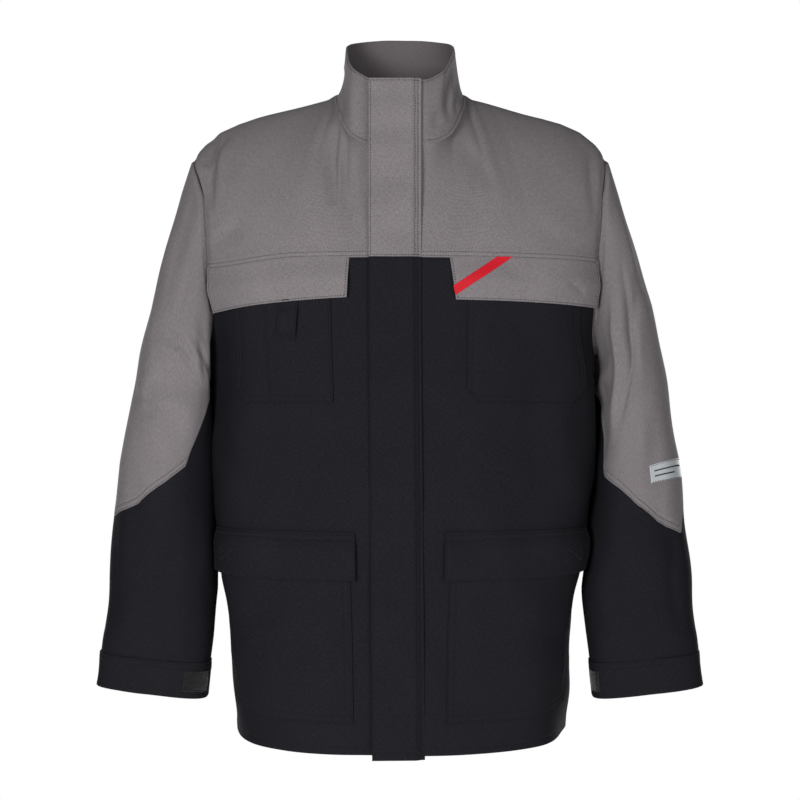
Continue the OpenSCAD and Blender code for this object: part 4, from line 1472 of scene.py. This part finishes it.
# Shares of the sleeve's length
SLEEVE_LAP = 0.009  # how far the black cloth runs up under the grey
CUFF_TOP, CUFF_END = 1.0, 1.2
CUFF_LAP = 0.012
PATCH_TOP, PATCH_END = 1.05, 1.16
TAB_TOP, TAB_END = 1.04, 1.17
TAB_POINT = 0.012  # how much each side of the tab draws in at its tip
# Turns
PATCH_TURNS = {1: (146, 178), -1: (117, 168)}
TAB_FROM, TAB_TO = -48, -128
CUFF_LIFT = 1.2
PATCH_LIFT = 1.5
# The shares of the sleeve's length over which its weight rises, on the outside and in the underarm
BEND_OUTSIDE, BEND_UNDERARM = 0.28, 0.85

def sleeve_weight(turn, s):
    """A weight for each point of the sleeve, from 0 at the armhole to 1: it rises soon on the outside, the
    underarm cloth slowly.
    """
    turned = np.abs(turn - 360 * (turn > 180))
    reach = mix(BEND_OUTSIDE, BEND_UNDERARM, ease((turned - 30) / 150))
    t = np.clip((s - 0.01) / reach, 0, 1)
    return mix(t, ease(t), 0.6)


def bend_sleeve(o, piece, side, turns, shares):
    """Bakes a sleeve piece's transform and works out a weight for each of its points along the sleeve itself;
    nothing uses the weight.
    """
    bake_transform(o)
    marks = piece.marks
    i0 = np.clip(np.floor(marks[:, 0]).astype(int), 0, turns.shape[0] - 1)
    j0 = np.clip(np.floor(marks[:, 1]).astype(int), 0, turns.shape[1] - 2)
    i1 = (i0 + 1) % turns.shape[0]
    x, y = marks[:, 0] - i0, marks[:, 1] - j0
    grid = sleeve_weight(turns, shares)
    w = mix(mix(grid[i0, j0], grid[i1, j0], x), mix(grid[i0, j0 + 1], grid[i1, j0 + 1], x), y)


def cuff_tab(u, v):
    tip = TAB_POINT * ease((u - 0.9) / 0.1)
    lift = CUFF_LIFT + mix(2.4, 3.4, ease(u / 0.15))
    return sleeve(mix(TAB_FROM, TAB_TO, u), mix(TAB_TOP + tip, TAB_END - tip, v), lift)


def sleeve_piece(part, side, f, cloth, thread, **how):
    """The sleeve's grey or black part. f gives turn and share for u and v."""
    name = side_name(side)
    s = Sheet(
        f"sleeve_{part}_{name}_cloth", lambda u, v: sleeve(*f(u, v)), side=side, closed=True, pitch=3.4,
        drape=lambda self: sleeve_drape(*f(self.u, self.v), side), **how,
    )
    s.stitch_edges(thread)
    o = s.make(cloth)
    bend_sleeve(o, s, side, *f(s.u, s.v))
    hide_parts(f"sleeve_{part}_{name}")


for side in (1, -1):
    name = side_name(side)

    def upper(u, v, side=side):
        turn = 360 * u + 0 * v
        return turn, v * (sleeve_seam(turn, side) - 0.002)

    def lower(u, v, side=side):
        turn = 360 * u + 0 * v
        return turn, mix(sleeve_seam(turn, side) - SLEEVE_LAP, CUFF_TOP + CUFF_LAP, v)

    sleeve_piece(
        "upper", side, upper, GREY, SHADED_GREY_THREAD, rows={"v1": (2.2, 8.2)}, tuck=("v0",), turned=("v1",)
    )
    sleeve_piece("lower", side, lower, BLACK, SHADED_BLACK_THREAD, tuck=("v0",))

    s = Sheet(
        f"cuff_{name}_cloth", lambda u, v: sleeve(360 * u, mix(CUFF_TOP, CUFF_END, v), CUFF_LIFT + 0 * u),
        rows={"v0": (2.2, 7.4), "v1": (6.8,)}, turned=("v0", "v1"), thick=2.6, pitch=2.8, side=side,
        closed=True, drape=lambda self: 0.5 * ripples(self.base, 51 + self.side, 60),
    )
    s.stitch_edges(SHADED_BLACK_THREAD)
    o = s.make(BLACK)
    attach(o, f"sleeve_{name}")
    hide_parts(f"cuff_{name}")

    s = Sheet(
        f"cuff_loop_patch_{name}_cloth",
        lambda u, v: sleeve(
            mix(*PATCH_TURNS[side], u), mix(PATCH_TOP, PATCH_END, v), CUFF_LIFT + PATCH_LIFT + 0 * u
        ),
        rows={e: (1.6,) for e in EDGES}, thick=1.0, pitch=1.6, side=side,
        relief=lambda self: 0.25 * ripples(self.base, 61, 2.2, count=24),
    )
    s.stitch_edges(SHADED_BLACK_THREAD)
    o = s.make(LOOPS)
    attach(o, f"sleeve_{name}")
    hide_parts(f"cuff_loop_patch_{name}")

    s = Sheet(
        f"cuff_tab_{name}_cloth", cuff_tab,
        rows={"u0": (2.0, 9.0), "u1": (2.0,), "v0": (2.0,), "v1": (2.0,)}, turned=EDGES, thick=2.2,
        pitch=2.2, flip=True, side=side,
    )
    s.stitch_edges(SHADED_BLACK_THREAD)
    o = s.make(BLACK)
    tab = [sleeve(np.array(float(t)), np.array(1.1)) * MM for t in (TAB_FROM, TAB_FROM - 6)]
    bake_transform(o)
    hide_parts(f"cuff_tab_{name}")


LABEL_TURNS, LABEL_SHARES, LABEL_SLANT = (77, 20), (0.596, 0.6285), 0.017


def label_place(u, v):
    return mix(*LABEL_TURNS, u) + 0 * v, mix(*LABEL_SHARES, v) + LABEL_SLANT * u


s = Sheet(
    "sleeve_label_cloth", lambda u, v: sleeve(*label_place(u, v), 0.8), flip=True, thick=0.5, pitch=1.6,
    drape=lambda self: sleeve_drape(*label_place(self.u, self.v), 1),
)
wide, high = s.flat
s.stitch_lines(SHADED_GREY_THREAD, [(1.2, 1.2), (wide - 1.2, 1.2)], [(1.2, high - 1.2), (wide - 1.2, high - 1.2)])
# Two plain bars of dense stitching stand for the print
bars = [[(6.0, high * 0.36), (wide - 8, high * 0.36)], [(6.0, high * 0.64), (wide * 0.6, high * 0.64)]]
s.stitch_lines(SHADED_BLACK_THREAD, *bars, pitch=1.2, length=1.4, size=0.9)
o = s.make(SILVER)
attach(o, "sleeve_left")
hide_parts("sleeve_label")

# ---------------------------------------------------------------- inside the neck

NECK_LABEL_ROUND, NECK_LABEL_RISE, NECK_LABEL_INSET = (0.457, 0.543), (0.08, 0.36), 3.4
HANGER_HALF, HANGER_HALF_WIDTH, HANGER_BOW = 32, 5.1, 8.6


def neck_label(u, v):
    return collar_strip(mix(*NECK_LABEL_ROUND, u), mix(*NECK_LABEL_RISE, v), NECK_LABEL_INSET)


def hanger(u, v):
    bow = HANGER_BOW * np.maximum(0, sin(180 * u)) ** 0.7
    return point(mix(-HANGER_HALF, HANGER_HALF, u), -2.6 - bow, mix(-HANGER_HALF_WIDTH, HANGER_HALF_WIDTH, v))


s = Sheet("neck_label_cloth", neck_label, thick=0.5, pitch=2, drape=lambda self: -collar_folds(self))
wide, high = s.flat
s.stitch_lines(SHADED_GREY_THREAD, [(1.2, 1.4), (wide - 1.2, 1.4)], [(1.2, high - 1.4), (wide - 1.2, high - 1.4)])
o = s.make(SILVER)
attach(o, "torso")
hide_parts("neck_label")

s = Sheet("hanger_loop_cloth", hanger, thick=1.2, pitch=1.6)
o = s.make(TAPE)
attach(o, "torso")
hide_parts("hanger_loop")

# ---------------------------------------------------------------- studio

scene = bpy.context.scene
scene.view_settings.view_transform = "Standard"
scene.view_settings.look = "None"

CAMERA_DISTANCE = 2.03
CAMERA_Z = -0.355
FLOOR_RADIUS = 0.8
FLOOR_Z = -1.15

camera = bpy.data.objects.new("camera", bpy.data.cameras.new("camera"))
camera.location = (0, -CAMERA_DISTANCE, CAMERA_Z)
camera.rotation_euler = (math.radians(90), 0, 0)
camera.data.lens = 77
camera.data.sensor_width = 36
scene.collection.objects.link(camera)
scene.camera = camera


def area_light(name, at, target, power, size, size_y):
    data = bpy.data.lights.new(name, "AREA")
    data.shape = "RECTANGLE"
    data.energy, data.size, data.size_y = power, size, size_y
    o = bpy.data.objects.new(name, data)
    o.location = at
    x, y, z = np.array(at) - np.array(target)
    o.rotation_euler = (math.atan2(math.hypot(x, y), z), 0, math.atan2(x, -y))
    scene.collection.objects.link(o)


MIDDLE = (0, -0.05, -0.35)
area_light("key", (-0.8, -2.3, -0.35), MIDDLE, 33, 0.6, 0.6)
area_light("fill", (0.7, -2.3, -0.4), MIDDLE, 17, 1.0, 1.0)
area_light("rear left", (1.4, 2.2, -0.3), MIDDLE, 30, 1.2, 1.6)
area_light("rear right", (-1.4, 2.2, -0.3), MIDDLE, 22, 1.2, 1.6)

world = bpy.data.worlds.new("studio")
scene.world = world
world.use_nodes = True
tree = world.node_tree
tree.nodes.clear()
seen = node(tree, "Background", {"Color": (1, 1, 1, 1), "Strength": 1.0})
given = node(tree, "Background", {"Color": (0.96, 0.98, 1, 1), "Strength": 0.13})
is_seen = node(tree, "LightPath").outputs["Is Camera Ray"]
both = node(tree, "MixShader", {0: is_seen, 1: given.outputs[0], 2: seen.outputs[0]})
output = tree.nodes.new("ShaderNodeOutputWorld")
tree.links.new(both.outputs[0], output.inputs[0])

floor_mesh = bpy.data.meshes.new("floor")
around = np.linspace(0, 2 * math.pi, 96, endpoint=False)
rim = [(FLOOR_RADIUS * math.cos(t), FLOOR_RADIUS * math.sin(t), FLOOR_Z) for t in around]
floor_mesh.from_pydata(rim, [], [range(len(rim))])
floor = bpy.data.objects.new("floor", floor_mesh)
scene.collection.objects.link(floor)
paint, tree, shader = new_material("floor paint", 0.7)
grain = noise(tree, node(tree, "TexCoord").outputs["Object"], 60.0, 4.0)
tree.links.new(mixed(tree, grain, (0.86, 0.86, 0.86, 1), (0.9, 0.9, 0.9, 1)), shader.inputs["Base Color"])
shader.inputs["Emission Color"].default_value = (1, 1, 1, 1)
shader.inputs["Emission Strength"].default_value = 0.3
floor_mesh.materials.append(paint)
